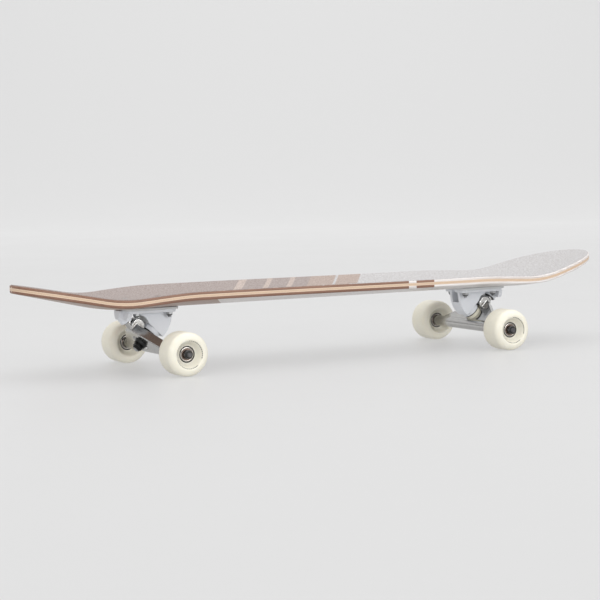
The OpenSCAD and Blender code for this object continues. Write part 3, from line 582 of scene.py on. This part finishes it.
def turned_steel_finish(name, colour, roughness):
    """Ground or plated steel: fine marks 1.6 mm across, in its colour, its gloss and its relief."""
    material, tree, shader = finish_of(name, Metallic=1.0)
    position = add(tree, "ShaderNodeTexCoord").outputs["Object"]
    marks = add(tree, "ShaderNodeTexNoise", {"Vector": position, "Scale": 1 / (1.6 * MM), "Detail": 3.0})
    varied(tree, shader, marks, colour, 0.25, roughness)
    relief = add(tree, "ShaderNodeBump", {"Height": marks, "Strength": 0.06, "Distance": 0.03 * MM})
    tree.links.new(relief.outputs[0], shader.inputs["Normal"])
    return material


FINISHES = {}


def finish(name):
    """A finish by name, made the first time it is asked for."""
    scene = bpy.context.scene
    deck, grip, truck, wheel = (scene.longboard_deck, scene.longboard_grip, scene.longboard_truck,
                                scene.longboard_wheel)
    makers = {
        "grit": lambda: grit_sheet_finish(grip),
        "maple": lambda: veneer_finish("maple_veneer_edge", deck.maple, True),
        "cross_maple": lambda: veneer_finish("maple_cross_veneer_edge", deck.cross_maple, False),
        "glue": lambda: plain_finish("melamine_glue_line", deck.glue, 2.0, 0.3, (0.5, 0.7)),
        "edge_veneer": lambda: stained_finish(deck, deck.slant, "maple_face_veneer_stained", (
            (-600, deck.stain), (167, deck.white), (180, deck.stain), (211, deck.white))),
        "under_veneer": lambda: stained_finish(deck, deck.slant, "maple_under_veneer_stained", (
            (-600, deck.under), (-168, deck.white))),
        "zinc": lambda: turned_steel_finish("steel_zinc_plated", truck.zinc, (0.22, 0.42)),
        "axle_steel": lambda: turned_steel_finish("steel_axle_ground", truck.axle_grey, (0.3, 0.5)),
        "dark_zinc": lambda: turned_steel_finish("steel_zinc_darkened", truck.axle_grey, (0.28, 0.45)),
        # Powder coat: fine orange peel 1.5 mm across
        "paint": lambda: plain_finish("powder_coat_baked", truck.paint, 1.5, 0.03, (0.34, 0.44), 0.12, 0.05,
                                      Coat_Weight=0.25, Coat_Roughness=0.2),
        "aluminium": lambda: polished_finish(truck),
        # Thermoplastic riser: matt moulded skin with a 0.8 mm texture
        "riser": lambda: plain_finish("polyurethane_riser_moulded", truck.riser, 0.8, 0.08, (0.5, 0.65),
                                      0.15, 0.06),
        # Cast bushing: smooth, slightly cloudy urethane
        "cream": lambda: plain_finish("urethane_bushing_cast", truck.cream, 4.0, 0.14, (0.34, 0.5), 0.06,
                                      0.05, Subsurface_Weight=0.1, Subsurface_Scale=1.0,
                                      Subsurface_Radius=(0.003, 0.0025, 0.0015)),
        "black_urethane": lambda: plain_finish("urethane_bushing_black_cast", truck.black, 4.0, 0.3,
                                               (0.35, 0.55), 0.06, 0.05),
        # Nylon: matt black with a faint moulded skin
        "nylon": lambda: plain_finish("nylon_moulded_black", truck.black, 0.7, 0.3, (0.45, 0.6), 0.1, 0.04),
        # Black oxide on steel: dark with worn, brighter spots
        "black_steel": lambda: plain_finish("steel_black_oxide", truck.black, 2.0, 0.5, (0.28, 0.45), 0.06,
                                            0.03, Metallic=0.6),
        "urethane": lambda: wheel_finish(wheel),
        "race": lambda: turned_steel_finish("bearing_steel_ground", wheel.steel, (0.12, 0.28)),
        "shield": lambda: turned_steel_finish("bearing_shield_pressed", wheel.shield, (0.25, 0.45)),
    }
    if name not in FINISHES:
        FINISHES[name] = makers[name]()
    return FINISHES[name]


def refinish(node, name):
    """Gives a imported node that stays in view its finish."""
    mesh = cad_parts[node].data
    mesh.materials.clear()
    mesh.materials.append(finish(name))


def fit_out(piece, body, node):
    """Lets a piece ride on a body and stand for its node."""
    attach(piece, body)
    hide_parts(node)


def fit(name, mesh, finishes, place, body, node):
    """Adds a piece to the board with its finishes, and fits it out."""
    fit_out(new_piece(name, mesh, [finish(each) for each in finishes], place), body, node)


# ---------- deck ----------

def smooth_step(t):
    """A smooth rise from 0 to 1."""
    t = min(max(t, 0.0), 1.0)
    return t * t * (3 - 2 * t)


def kick_height(distance, radius, slope):
    """Height of a kick that bends on a radius and then runs straight."""
    bend = radius * math.sin(slope)
    if distance <= 0:
        return 0.0
    if distance < bend:
        return radius - math.sqrt(radius * radius - distance * distance)
    return radius * (1 - math.cos(slope)) + (distance - bend) * math.tan(slope)


def deck_height(s, x, y, half_width):
    """Height of the deck's surface over its spine, with x from the midpoint between the axles."""
    full, last = HALF_BASE - s.full_concave, HALF_BASE + s.end_concave
    middle = s.rail_rear + (s.rail_front - s.rail_rear) * smooth_step((x + full) / (2 * full))
    rail = s.rail_kick + (middle - s.rail_kick) * smooth_step((last - abs(x)) / (last - full))
    spine = (kick_height(x - s.nose_kick, s.kick_radius, s.nose_slope)
             + kick_height(-x - s.tail_kick, s.kick_radius, s.tail_slope))
    return spine + rail * (y / half_width) ** 2


def deck_stations(s):
    """Points of the outline's left half: (x, y, normal x, normal y), from the tail tip to the nose tip."""
    low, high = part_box("deck_core")
    half_width = high.y
    nose, tail = high.x - MIDDLE_X, MIDDLE_X - low.x
    tip_steps, mid_steps, last_angle = 44, 120, math.radians(89.3)
    stations = []
    start, end = s.tail_round - tail, nose - s.nose_round
    for k in range(tip_steps, 0, -1):
        a = last_angle * k / tip_steps
        normal = Vector((-math.sin(a) / s.tail_round, math.cos(a) / half_width)).normalized()
        stations.append((start - s.tail_round * math.sin(a), half_width * math.cos(a), *normal))
    for k in range(mid_steps + 1):
        stations.append((start + (end - start) * k / mid_steps, half_width, 0.0, 1.0))
    for k in range(1, tip_steps + 1):
        a = last_angle * k / tip_steps
        normal = Vector((math.sin(a) / s.nose_round, math.cos(a) / half_width)).normalized()
        stations.append((end + s.nose_round * math.sin(a), half_width * math.cos(a), *normal))
    return stations, half_width


def deck_sheet(name, s, levels, materials, hole_outline):
    """A sheet of the deck. levels are (height above the underside, inset, material of the edge above)."""
    stations, half_width = deck_stations(s)
    columns, last = 34, len(levels) - 1
    bm = bmesh.new()
    rows = []
    for k, (height, inset, _) in enumerate(levels):
        row = []
        for x, y, normal_x, normal_y in stations:
            px, py = x - normal_x * inset, max(y - normal_y * inset, 0.4 * MM)
            ys = [-py + 2 * py * j / (columns - 1) for j in range(columns)] if k in (0, last) else [-py, py]
            row.append([bm.verts.new((MIDDLE_X + px, v, DECK_Z + height + deck_height(s, px, v, half_width)))
                        for v in ys])
        rows.append(row)
    count = len(stations)
    for i in range(count - 1):
        for j in range(columns - 1):
            a, b = rows[last][i], rows[last][i + 1]
            bm.faces.new((a[j], b[j], b[j + 1], a[j + 1]))
            a, b = rows[0][i], rows[0][i + 1]
            bm.faces.new((a[j], a[j + 1], b[j + 1], b[j])).material_index = 0
        for k in range(last):
            for side in (0, -1):
                a, b = rows[k][i][side], rows[k][i + 1][side]
                c, d = rows[k + 1][i + 1][side], rows[k + 1][i][side]
                bm.faces.new((a, b, c, d) if side == 0 else (a, d, c, b)).material_index = levels[k][2]
    for i in (0, count - 1):
        loop = rows[0][i][::-1] + [rows[k][i][0] for k in range(1, last)] + rows[last][i]
        loop += [rows[k][i][-1] for k in range(last - 1, 0, -1)]
        bm.faces.new(loop)
    bmesh.ops.recalc_face_normals(bm, faces=bm.faces)
    mesh = bpy.data.meshes.new(name)
    bm.to_mesh(mesh)
    bm.free()
    piece = new_piece(name, mesh, materials)
    drill(piece, hole_outline)
    settle(piece.data, 40)
    return piece


def bolt_places():
    """Where the deck bolts stand, in millimetres, at height zero."""
    s = bpy.context.scene.longboard_truck
    low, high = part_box("deck_bolts")
    head = s.bolt_head / 2
    places = []
    for outer, inward in ((low.x + head, 1), (high.x - head, -1)):
        places += [Matrix.Translation((x / MM, y / MM, 0)) for x in (outer, outer + inward * s.bolt_spacing)
                   for y in (low.y + head, high.y - head)]
    return places


def drill(piece, outline):
    """Cuts the bolt holes through a piece."""
    cutter = new_piece("drill", turned("drill", {"outline": outline, "steps": 48}, copies=bolt_places()), ())
    cut = piece.modifiers.new("holes", "BOOLEAN")
    cut.operation = "DIFFERENCE"
    cut.solver = "EXACT"
    cut.object = cutter
    bpy.context.view_layer.update()
    old = piece.data
    piece.data = bpy.data.meshes.new_from_object(piece.evaluated_get(bpy.context.evaluated_depsgraph_get()))
    piece.data.name = piece.name
    piece.modifiers.clear()
    bpy.data.meshes.remove(old)
    drill_mesh = cutter.data
    bpy.data.objects.remove(cutter)
    bpy.data.meshes.remove(drill_mesh)


def rounded_levels(s, low, high, steps, below, above, material=0):
    """Levels of a sheet from low to high, with the deck's rounding where the edge nears below or above."""
    levels = []
    for k in range(steps + 1):
        height = low + (high - low) * k / steps
        depth = max(s.edge_radius - (height - below), s.edge_radius - (above - height), 0.0)
        inset = s.edge_radius - math.sqrt(max(s.edge_radius ** 2 - depth ** 2, 0.0))
        levels.append((height, inset, material))
    return levels


class LONGBOARD_OT_deck(bpy.types.Operator):
    """Presses the deck: a core of five veneers, the outer two stained, between two face veneers"""

    bl_idname = "longboard.deck"
    bl_label = "Deck"

    def execute(self, context):
        s = context.scene.longboard_deck
        wood_top = PLY_LOW["grip_sheet"] - DECK_Z
        core_low, core_high = PLY_LOW["deck_core"] - DECK_Z, PLY_LOW["deck_ply_top"] - DECK_Z
        truck = context.scene.longboard_truck
        play, head_height, head_top = 0.3, 2.6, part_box("deck_bolts")[1].z / MM
        bore, head = truck.bolt / 2 / MM + play, truck.bolt_head / 2 / MM + play
        hole = [(0, DRILL[0]), (bore, DRILL[0]), (bore, head_top - head_height), (head, head_top),
                (head, DRILL[1]), (0, DRILL[1])]
        top = deck_sheet("deck_face_top", s, rounded_levels(s, core_high, wood_top, 6, 0, wood_top),
                         (finish("edge_veneer"),), hole)
        fit_out(top, "board", "deck_ply_top")
        under = deck_sheet("deck_face_under", s, rounded_levels(s, 0, core_low, 6, 0, wood_top, 1),
                           (finish("under_veneer"), finish("edge_veneer")), hole)
        fit_out(under, "board", "deck_ply_bottom")
        veneers, line = 5, 0.16 * MM
        step = (core_high - core_low) / veneers
        levels = []
        for k in range(veneers):
            low, wood = core_low + k * step, 3 if k in (0, veneers - 1) else (k + 1) % 2
            levels += [(low, 0.0, wood), (low + step - line, 0.0, 2)]
            if k < veneers - 1:
                levels.append((low + step - line / 2, s.groove, 2))
        levels.append((core_high, 0.0, 2))
        levels = [(h, max(i, rounded_levels(s, h, h, 1, 0, wood_top)[0][1]), m) for h, i, m in levels]
        woods = [finish(name) for name in ("maple", "cross_maple", "glue", "edge_veneer")]
        core = deck_sheet("deck_core_laminate", s, levels, woods, hole)
        fit_out(core, "board", "deck_core")
        return {"FINISHED"}


class LONGBOARD_OT_grip(bpy.types.Operator):
    """Lays the printed grit sheet on the deck"""

    bl_idname = "longboard.grip"
    bl_label = "Grip"

    def execute(self, context):
        deck, grip = context.scene.longboard_deck, context.scene.longboard_grip
        thickness, soft, inset = 0.8 * MM, 0.2 * MM, deck.edge_radius
        low = PLY_LOW["grip_sheet"] - DECK_Z
        high = low + thickness
        levels = [(low, inset, 0), (high - soft, inset, 0), (high, inset + soft, 0)]
        radius = grip.hole / 2 / MM
        hole = [(0, DRILL[0]), (radius, DRILL[0]), (radius, DRILL[1]), (0, DRILL[1])]
        sheet = deck_sheet("grit_sheet_printed", deck, levels, (finish("grit"),), hole)
        fit_out(sheet, "board", "grip_sheet")
        return {"FINISHED"}


class LONGBOARD_OT_deck_bolts(bpy.types.Operator):
    """Puts in the countersunk deck bolts and their lock nuts"""

    bl_idname = "longboard.deck_bolts"
    bl_label = "Deck bolts"

    def execute(self, context):
        s = context.scene.longboard_truck
        low, high = (corner.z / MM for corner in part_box("deck_bolts"))
        radius, head = s.bolt / 2 / MM, s.bolt_head / 2 / MM
        socket, socket_depth, head_height, threads = 3.2, 2.0, 2.6, 14
        body = [Vector((0, low)), Vector((radius - 0.7, low))]
        body += thread(radius, low + 0.6, low + threads, 0.8, 0.35)
        body += [Vector((radius, low + threads + 0.4)), Vector((radius, high - head_height)),
                 Vector((head - 0.15, high - 0.25)), Vector((head - 0.3, high))]
        body += [Vector((1.95, high)), Vector((1.85, high - 0.15)), Vector((1.85, high - socket_depth)),
                 Vector((0, high - socket_depth - 0.5))]
        bolts = turned("deck_bolts_socket",
                       {"outline": body, "steps": 48, "flats": socket, "flats_to": 1.96},
                       copies=bolt_places())
        fit("deck_bolts_socket", bolts, ("zinc",), None, "board", "deck_bolts")
        low, high = (corner.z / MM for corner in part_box("deck_nuts"))
        flats, collar = s.bolt_nut_flats / MM, 1.5
        corner = flats / 2 / HEXAGON
        bore = radius + 0.03
        hexed = [(bore, low + collar), (flats / 2 - 0.2, low + collar), (corner, low + collar + 0.9),
                 (corner, high - 0.7), (flats / 2 - 0.1, high), (bore, high)]
        ring = [(bore, low + 0.15), (flats / 2 - 1.2, low), (flats / 2 - 0.5, low + 0.5),
                (flats / 2 - 0.5, low + collar - 0.01), (bore, low + collar - 0.01)]
        nuts = turned("deck_lock_nuts", {"outline": eased(hexed, 0.15, 2), "steps": 48, "flats": flats},
                      {"outline": eased(ring, 0.2, 2), "steps": 48, "material": 1}, copies=bolt_places())
        fit("deck_lock_nuts", nuts, ("zinc", "nylon"), None, "board", "deck_nuts")
        return {"FINISHED"}


# ---------- trucks ----------

def kingpin_frame(end, s):
    """A matrix at the bushing seat with Z down the kingpin, and where the stack's pieces start on it."""
    board, road = centre(f"{end}_bushing_board"), centre(f"{end}_bushing_road")
    sunk = 0.5 * MM
    start = s.washer - sunk
    seat = board - (road - board).normalized() * (start + s.board_bushing / 2)
    places = {"board_washer": -sunk, "board_bushing": start}
    places["web"] = start + s.board_bushing
    places["road_bushing"] = places["web"] + s.web
    places["road_washer"] = places["road_bushing"] + s.road_bushing
    places["nut"] = places["road_washer"] + s.washer
    places["tip"] = places["nut"] + s.nut_height + 1.5 * MM
    return along(seat, road - board), {name: value / MM for name, value in places.items()}


class LONGBOARD_OT_baseplates(bpy.types.Operator):
    """Casts and paints the baseplates, with their pivot cups and the riser pads"""

    bl_idname = "longboard.baseplates"
    bl_label = "Baseplates"

    def execute(self, context):
        s = context.scene.longboard_truck
        for end, _ in ENDS:
            mesh = cast_body(f"{end}_baseplate_painted", f"{end}_baseplate", s.casting_voxel, 5)
            fit(mesh.name, mesh, ("paint",), None, "board", f"{end}_baseplate")
            refinish(f"{end}_pivot_cup", "nylon")
            refinish(f"{end}_riser_pad", "riser")
        return {"FINISHED"}


class LONGBOARD_OT_kingpins(bpy.types.Operator):
    """Stacks the bushings, cup washers and nut on each kingpin"""

    bl_idname = "longboard.kingpins"
    bl_label = "Kingpins"

    def execute(self, context):
        s = context.scene.longboard_truck
        pin, bushing, washer = s.kingpin / 2 / MM, s.bushing / 2 / MM, s.washer / MM
        hole, road_end = pin + 0.16, s.road_end / 2 / MM
        high, low, rim, collar = s.board_bushing / MM, s.road_bushing / MM, 0.45, 2.0
        barrel = [(hole, 0.1), (hole + 1, 0), (bushing - 1.1, 0), (bushing - 0.15, 1.5), (bushing, high / 2),
                  (bushing - 0.15, high - 1.5), (bushing - 1.1, high), (hole + 1, high), (hole, high - 0.1)]
        cone = [(hole, 0), (bushing - 0.75, 0), (bushing - 0.9, 0.9), (road_end + 0.2, low - 0.8),
                (road_end - 0.8, low), (hole, low)]
        cup = [(hole, 0), (bushing + 0.6, 0), (bushing + 0.6, washer + rim), (bushing + 0.08, washer + rim),
               (bushing + 0.02, washer), (hole, washer)]
        small = [(hole, 0), (road_end + 0.2, 0), (road_end + 0.7, 0.3), (road_end + 0.7, washer),
                 (hole, washer)]
        for end, _ in ENDS:
            place, at = kingpin_frame(end, s)
            board_bushing = ({"outline": up(eased(barrel, 0.9), at["board_bushing"])},)
            road_bushing = ({"outline": up(eased(cone, 0.6), at["road_bushing"])},)
            washers = ({"outline": up(eased(cup, 0.25), at["board_washer"])},
                       {"outline": up(eased(small, 0.25), at["road_washer"])})
            nut = lock_nut(pin + 0.03, s.nut_flats / MM, s.nut_height / MM, collar, 0.9, 0.5, 0.25,
                           at["nut"])
            stack = (("bushing_boardside", board_bushing, ("cream",), "bushing_urethane", "bushing_board"),
                     ("bushing_roadside", road_bushing, ("black_urethane",), "black_urethane",
                      "bushing_road"),
                     ("cup_washers_pressed", washers, ("black_steel",), "black_steel", "cup_washers"),
                     ("kingpin_bolt", self.pin(at, s), ("zinc",), "zinc_steel", "kingpin"),
                     ("kingpin_lock_nut", nut, ("black_steel", "nylon"), "black_steel", "kingpin_nut"))
            for name, solids, finishes, slot, node in stack:
                mesh = turned(f"{end}_{name}", *solids)
                fit(mesh.name, mesh, finishes, place, "board", f"{end}_{node}")
        return {"FINISHED"}

    def pin(self, at, s):
        """The kingpin's solids: a hexagonal head in the baseplate's pocket and a threaded end."""
        radius, flats = s.kingpin / 2 / MM, s.head_flats / MM
        corner = flats / 2 / HEXAGON
        head_low, head_high, tip = -19.5, -13.0, at["tip"]
        head = [(0, head_low), (flats / 2 - 0.3, head_low), (corner, head_low + 0.9), (corner, head_high),
                (0, head_high)]
        shaft = [Vector((0, head_high + 0.01)), Vector((radius, head_high + 0.01)),
                 Vector((radius, at["nut"]))]
        shaft += thread(radius, at["nut"] + 0.2, tip - 0.6, PITCH, 0.4)
        shaft += [Vector((radius - 0.8, tip)), Vector((0, tip))]
        return ({"outline": eased(head, 0.2, 2), "flats": flats}, {"outline": shaft, "steps": 64})


class LONGBOARD_OT_hangers(bpy.types.Operator):
    """Casts and polishes the hangers and puts their axles through"""

    bl_idname = "longboard.hangers"
    bl_label = "Hangers"

    def execute(self, context):
        s = context.scene.longboard_truck
        for end, _ in ENDS:
            body = f"{end}_truck"
            mesh = cast_body(f"{end}_hanger_polished", f"{end}_hanger", s.casting_voxel, 4)
            fit(mesh.name, mesh, ("aluminium",), None, body, f"{end}_hanger")
            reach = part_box(f"{end}_axle")[1].y / MM
            radius, threaded = s.axle / 2 / MM, 10.0
            upper = [Vector((radius, reach - threaded - 1))]
            upper += thread(radius, reach - threaded, reach - 0.8, PITCH, 0.4)
            upper.append(Vector((radius - 0.9, reach)))
            rod = [Vector((0, -reach)), *mirrored(upper), *upper, Vector((0, reach))]
            mesh = turned(f"{end}_axle_ground", {"outline": rod, "steps": 64})
            place = along(AXLE[end], Vector((0, 1, 0)))
            fit(mesh.name, mesh, ("axle_steel",), place, body, f"{end}_axle")
        return {"FINISHED"}


# ---------- wheels ----------

def wheel_frame(corner, hand):
    """A matrix at a wheel's middle, with Z out along its axle."""
    return Matrix.Translation(centre(f"{corner}_wheel")) @ Matrix.Rotation(math.radians(-90 * hand), 4, "X")


class LONGBOARD_OT_wheels(bpy.types.Operator):
    """Pours the wheels round their cores"""

    bl_idname = "longboard.wheels"
    bl_label = "Wheels"

    def execute(self, context):
        s = context.scene.longboard_wheel
        radius = (WHEEL_HIGH.z - WHEEL_LOW.z) / 2 / MM
        half = (WHEEL_HIGH.y - WHEEL_LOW.y) / 2 / MM
        lip, core, seat = s.lip / MM, s.core / 2 / MM, s.core_width / 2 / MM
        flat, hub, steps = radius - lip, core + 0.03, 14
        dish = [Vector((hub + (flat - hub) * k / steps, seat + (half - seat) * smooth_step(k / steps)))
                for k in range(steps)]
        outer = [Vector((hub, seat - 0.5))] + dish + arc(flat, half - lip, lip, 90, 0, 16)
        tread = turned("wheel_poured", {"outline": outer + mirrored(outer), "steps": 160}, angle=50)
        ring, rib, tall, soft = s.bearing / 2 / MM + 0.02, seat - s.bearing_width / MM, 1.8, 0.4
        sleeve = [(ring, seat - soft), (ring + soft, seat), (core, seat), (core, -seat),
                  (ring + soft, -seat), (ring, -seat + soft), (ring, -rib), (ring - tall, -rib),
                  (ring - tall, rib), (ring, rib)]
        sleeve = turned("wheel_core_moulded", {"outline": eased(sleeve, 0.15, 2)}, angle=50)
        for corner, _, hand in CORNERS:
            place = wheel_frame(corner, hand)
            wheel = f"{corner}_wheel"
            fit(f"{corner}_wheel_poured", tread, ("urethane",), place, wheel, wheel)
            fit(f"{corner}_wheel_core_moulded", sleeve, ("nylon",), place, wheel,
                f"{corner}_wheel_core")
        return {"FINISHED"}


class LONGBOARD_OT_bearings(bpy.types.Operator):
    """Fits the bearings, spacers, speed washers and axle nuts"""

    bl_idname = "longboard.bearings"
    bl_label = "Bearings and axle nuts"

    def execute(self, context):
        s, truck = context.scene.longboard_wheel, context.scene.longboard_truck
        outer, race, cone = s.bearing / 2 / MM, s.race / 2 / MM, s.cone / 2 / MM
        width, half_core = s.bearing_width / MM, s.core_width / 2 / MM
        pitch, groove = (race + cone) / 2, s.ball / 2 / MM + 0.25
        reach = math.degrees(math.acos((race - pitch) / groove))
        shell = [(race, 0.05), (race + 0.3, 0), (outer - 0.35, 0), (outer, 0.35), (outer, width - 0.35),
                 (outer - 0.35, width), (race + 0.3, width), (race, width - 0.05)]
        shell = [Vector(p) for p in shell] + arc(pitch, width / 2, groove, reach, -reach, 10)
        cover = [(cone + 0.3, 0.55), (cone + 0.3, 0.4), (cone + 1.0, 0.3), (race - 0.9, 0.3),
                 (race - 0.6, 0.55), (race + 0.1, 0.35), (race + 0.1, 0.7), (race - 0.6, 0.85),
                 (race - 0.9, 0.65), (cone + 1.0, 0.65)]
        cover = {"outline": eased(cover, 0.12, 2), "steps": 72, "material": 1}
        over = Matrix.Rotation(math.pi, 4, "X")
        sides = (Matrix.Translation((0, 0, half_core - width)),
                 Matrix.Translation((0, 0, -half_core + width)) @ over)
        flip = Matrix.Translation((0, 0, width)) @ over
        shells = turned("bearing_shells_shielded", {"outline": shell, "steps": 72}, cover,
                        {**cover, "place": flip}, copies=sides, angle=50)
        bore, thick = truck.axle / 2 / MM + 0.03, 1.0
        disc = [(bore, 0), (cone - 0.3, 0), (cone - 0.3, thick), (bore, thick)]
        washers = turned("speed_washers_flat", {"outline": eased(disc, 0.15, 2), "steps": 64}, copies=(
            Matrix.Translation((0, 0, half_core)), Matrix.Translation((0, 0, -half_core - thick))))
        low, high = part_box("front_left_axle_nut")
        nut = turned("axle_lock_nut", *lock_nut(bore, truck.axle_nut_flats / MM, (high.y - low.y) / MM, 2.2,
                                                0.8, 0.7, 0.2, half_core + thick))
        for corner, end, hand in CORNERS:
            place, body = wheel_frame(corner, hand), f"{end}_truck"
            fit(f"{corner}_bearings_shielded", shells, ("race", "shield"), place, f"{corner}_wheel",
                f"{corner}_bearing_shells")
            fit(f"{corner}_speed_washers_flat", washers, ("zinc",), place, body,
                f"{corner}_speed_washers")
            fit(f"{corner}_axle_lock_nut", nut, ("dark_zinc", "nylon"), place, body,
                f"{corner}_axle_nut")
            refinish(f"{corner}_bearing_cones", "race")
            refinish(f"{corner}_ball_cages", "race")
            refinish(f"{corner}_spacer", "zinc")
        return {"FINISHED"}


# ---------- studio ----------

class LONGBOARD_OT_stage(bpy.types.Operator):
    """Sets the pale floor with its curved backdrop, the soft lights and the camera"""

    bl_idname = "longboard.stage"
    bl_label = "Stage"

    def execute(self, context):
        s = context.scene.longboard_studio
        self.backdrop(s)
        self.lights(context.scene)
        self.camera(context.scene, s)
        return {"FINISHED"}

    def backdrop(self, s):
        """A floor that curves up behind the board, square to the camera."""
        bm = bmesh.new()
        reach, bend, width, height = 4.5, 2.5, 12.0, 6.0
        outline = [Vector((-8.0, 0.0)), Vector((reach, 0.0))]
        outline += [Vector((reach + bend * math.sin(a), bend - bend * math.cos(a)))
                    for a in (math.radians(5 * k) for k in range(1, 19))]
        outline.append(Vector((reach + bend, height)))
        turn_to = Matrix.Rotation(s.heading, 4, "Z")
        rows = [[bm.verts.new(turn_to @ Vector((p.x, y, p.y))) for y in (-width, width)] for p in outline]
        for a, b in zip(rows, rows[1:]):
            bm.faces.new((a[0], b[0], b[1], a[1]))
        bmesh.ops.recalc_face_normals(bm, faces=bm.faces)
        mesh = bpy.data.meshes.new("studio_floor")
        bm.to_mesh(mesh)
        bm.free()
        mesh.shade_smooth()
        # Opal acrylic lit from below: satin, and so bright that the board has hardly a shadow
        material, tree, shader = finish_of("acrylic_opal_satin", Specular_IOR_Level=0.3,
                                           Emission_Color=(1, 1, 1, 1), Emission_Strength=s.glow)
        position = add(tree, "ShaderNodeTexCoord").outputs["Object"]
        speckled(tree, shader, position, s.floor, 0.4, 0.01, roughness=(0.42, 0.5))
        floor = new_piece("studio_floor", mesh, (material,))

    def lights(self, scene):
        """A soft box overhead, two in front, a wash on the backdrop, and even fill."""
        world = bpy.data.worlds.new("studio_fill")
        scene.world = world
        world.use_nodes = True
        tree = world.node_tree
        way = add(tree, "ShaderNodeTexCoord").outputs["Generated"]
        parts = add(tree, "ShaderNodeSeparateXYZ", {"Vector": way})
        # The studio is darker at eye level and bright above, as under one large diffuser
        glow = set_ramp(add(tree, "ShaderNodeValToRGB", {"Fac": parts.outputs["Z"]}),
                        [(0.0, linear("747474")), (0.16, linear("747474")), (0.36, linear("FFFFFF"))])
        tree.links.new(glow.outputs[0], tree.nodes["Background"].inputs["Color"])
        tree.nodes["Background"].inputs["Strength"].default_value = 1.25
        # Each box: name, place, what it points at, width and height, all in metres, and watts
        boxes = (("overhead", (0.3, 0.2, 3.0), (0, 0, 0), (3.4, 2.4), 18),
                 ("front_left", (-4.2, -4.6, 1.3), (0, 0, 0.1), (2.6, 1.8), 84),
                 ("front_right", (1.6, -5.2, 1.2), (0, 0, 0.1), (2.4, 1.8), 66),
                 ("backdrop_wash", (2.0, 3.6, 3.6), (3.4, 6.2, 1.6), (5.0, 1.5), 92))
        for name, place, target, size, power in boxes:
            data = bpy.data.lights.new(name, "AREA")
            data.shape = "RECTANGLE"
            data.size, data.size_y = size
            data.energy = power
            lamp = bpy.data.objects.new(name, data)
            scene.collection.objects.link(lamp)
            lamp.location = place
            lamp.rotation_mode = "QUATERNION"
            lamp.rotation_quaternion = (Vector(target) - Vector(place)).to_track_quat("-Z", "Y")
        scene.view_settings.view_transform = "Standard"

    def camera(self, scene, s):
        """The camera, from the point on the floor between the axles."""
        data = bpy.data.cameras.new("camera")
        data.lens = s.lens
        data.sensor_width = 36
        data.clip_end = 50
        camera = bpy.data.objects.new("camera", data)
        scene.collection.objects.link(camera)
        a, e = s.heading, s.pitch
        view = Vector((math.cos(a) * math.cos(e), math.sin(a) * math.cos(e), -math.sin(e)))
        right = Vector((math.sin(a), -math.cos(a), 0))
        lift = right.cross(view)
        c, k = math.cos(s.roll), math.sin(s.roll)
        across, above = c * right + k * lift, -k * right + c * lift
        axes = Matrix((across, above, -view)).transposed().to_4x4()
        camera.matrix_world = Matrix.Translation((MIDDLE_X + s.distance_x, s.distance_y, s.height)) @ axes
        scene.camera = camera


OPERATORS = (LONGBOARD_OT_stage, LONGBOARD_OT_deck, LONGBOARD_OT_grip, LONGBOARD_OT_deck_bolts,
             LONGBOARD_OT_baseplates, LONGBOARD_OT_kingpins, LONGBOARD_OT_hangers, LONGBOARD_OT_wheels,
             LONGBOARD_OT_bearings)


class LONGBOARD_PT_panel(bpy.types.Panel):
    """Lists the longboard's operators and settings"""

    bl_idname = "LONGBOARD_PT_panel"
    bl_label = "Longboard"
    bl_space_type = "VIEW_3D"
    bl_region_type = "UI"
    bl_category = "Longboard"

    def draw(self, context):
        for operator in OPERATORS:
            self.layout.operator(operator.bl_idname)
        for name, group in GROUPS.items():
            box = self.layout.box()
            for setting in group.__annotations__:
                box.prop(getattr(context.scene, name), setting)


def register():
    """Registers the settings, the operators and the panel."""
    for group in GROUPS.values():
        bpy.utils.register_class(group)
    for name, group in GROUPS.items():
        setattr(bpy.types.Scene, name, PointerProperty(type=group))
    for operator in OPERATORS:
        bpy.utils.register_class(operator)
    bpy.utils.register_class(LONGBOARD_PT_panel)


def unregister():
    """Takes away what register added."""
    bpy.utils.unregister_class(LONGBOARD_PT_panel)
    for operator in reversed(OPERATORS):
        bpy.utils.unregister_class(operator)
    for name, group in reversed(GROUPS.items()):
        delattr(bpy.types.Scene, name)
        bpy.utils.unregister_class(group)


def main():
    """Registers the add-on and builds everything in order."""
    register()
    for operator in OPERATORS:
        family, name = operator.bl_idname.split(".")
        if getattr(getattr(bpy.ops, family), name)() != {"FINISHED"}:
            raise RuntimeError(f"{operator.bl_label} did not finish")


if __name__ == "__main__":
    main()
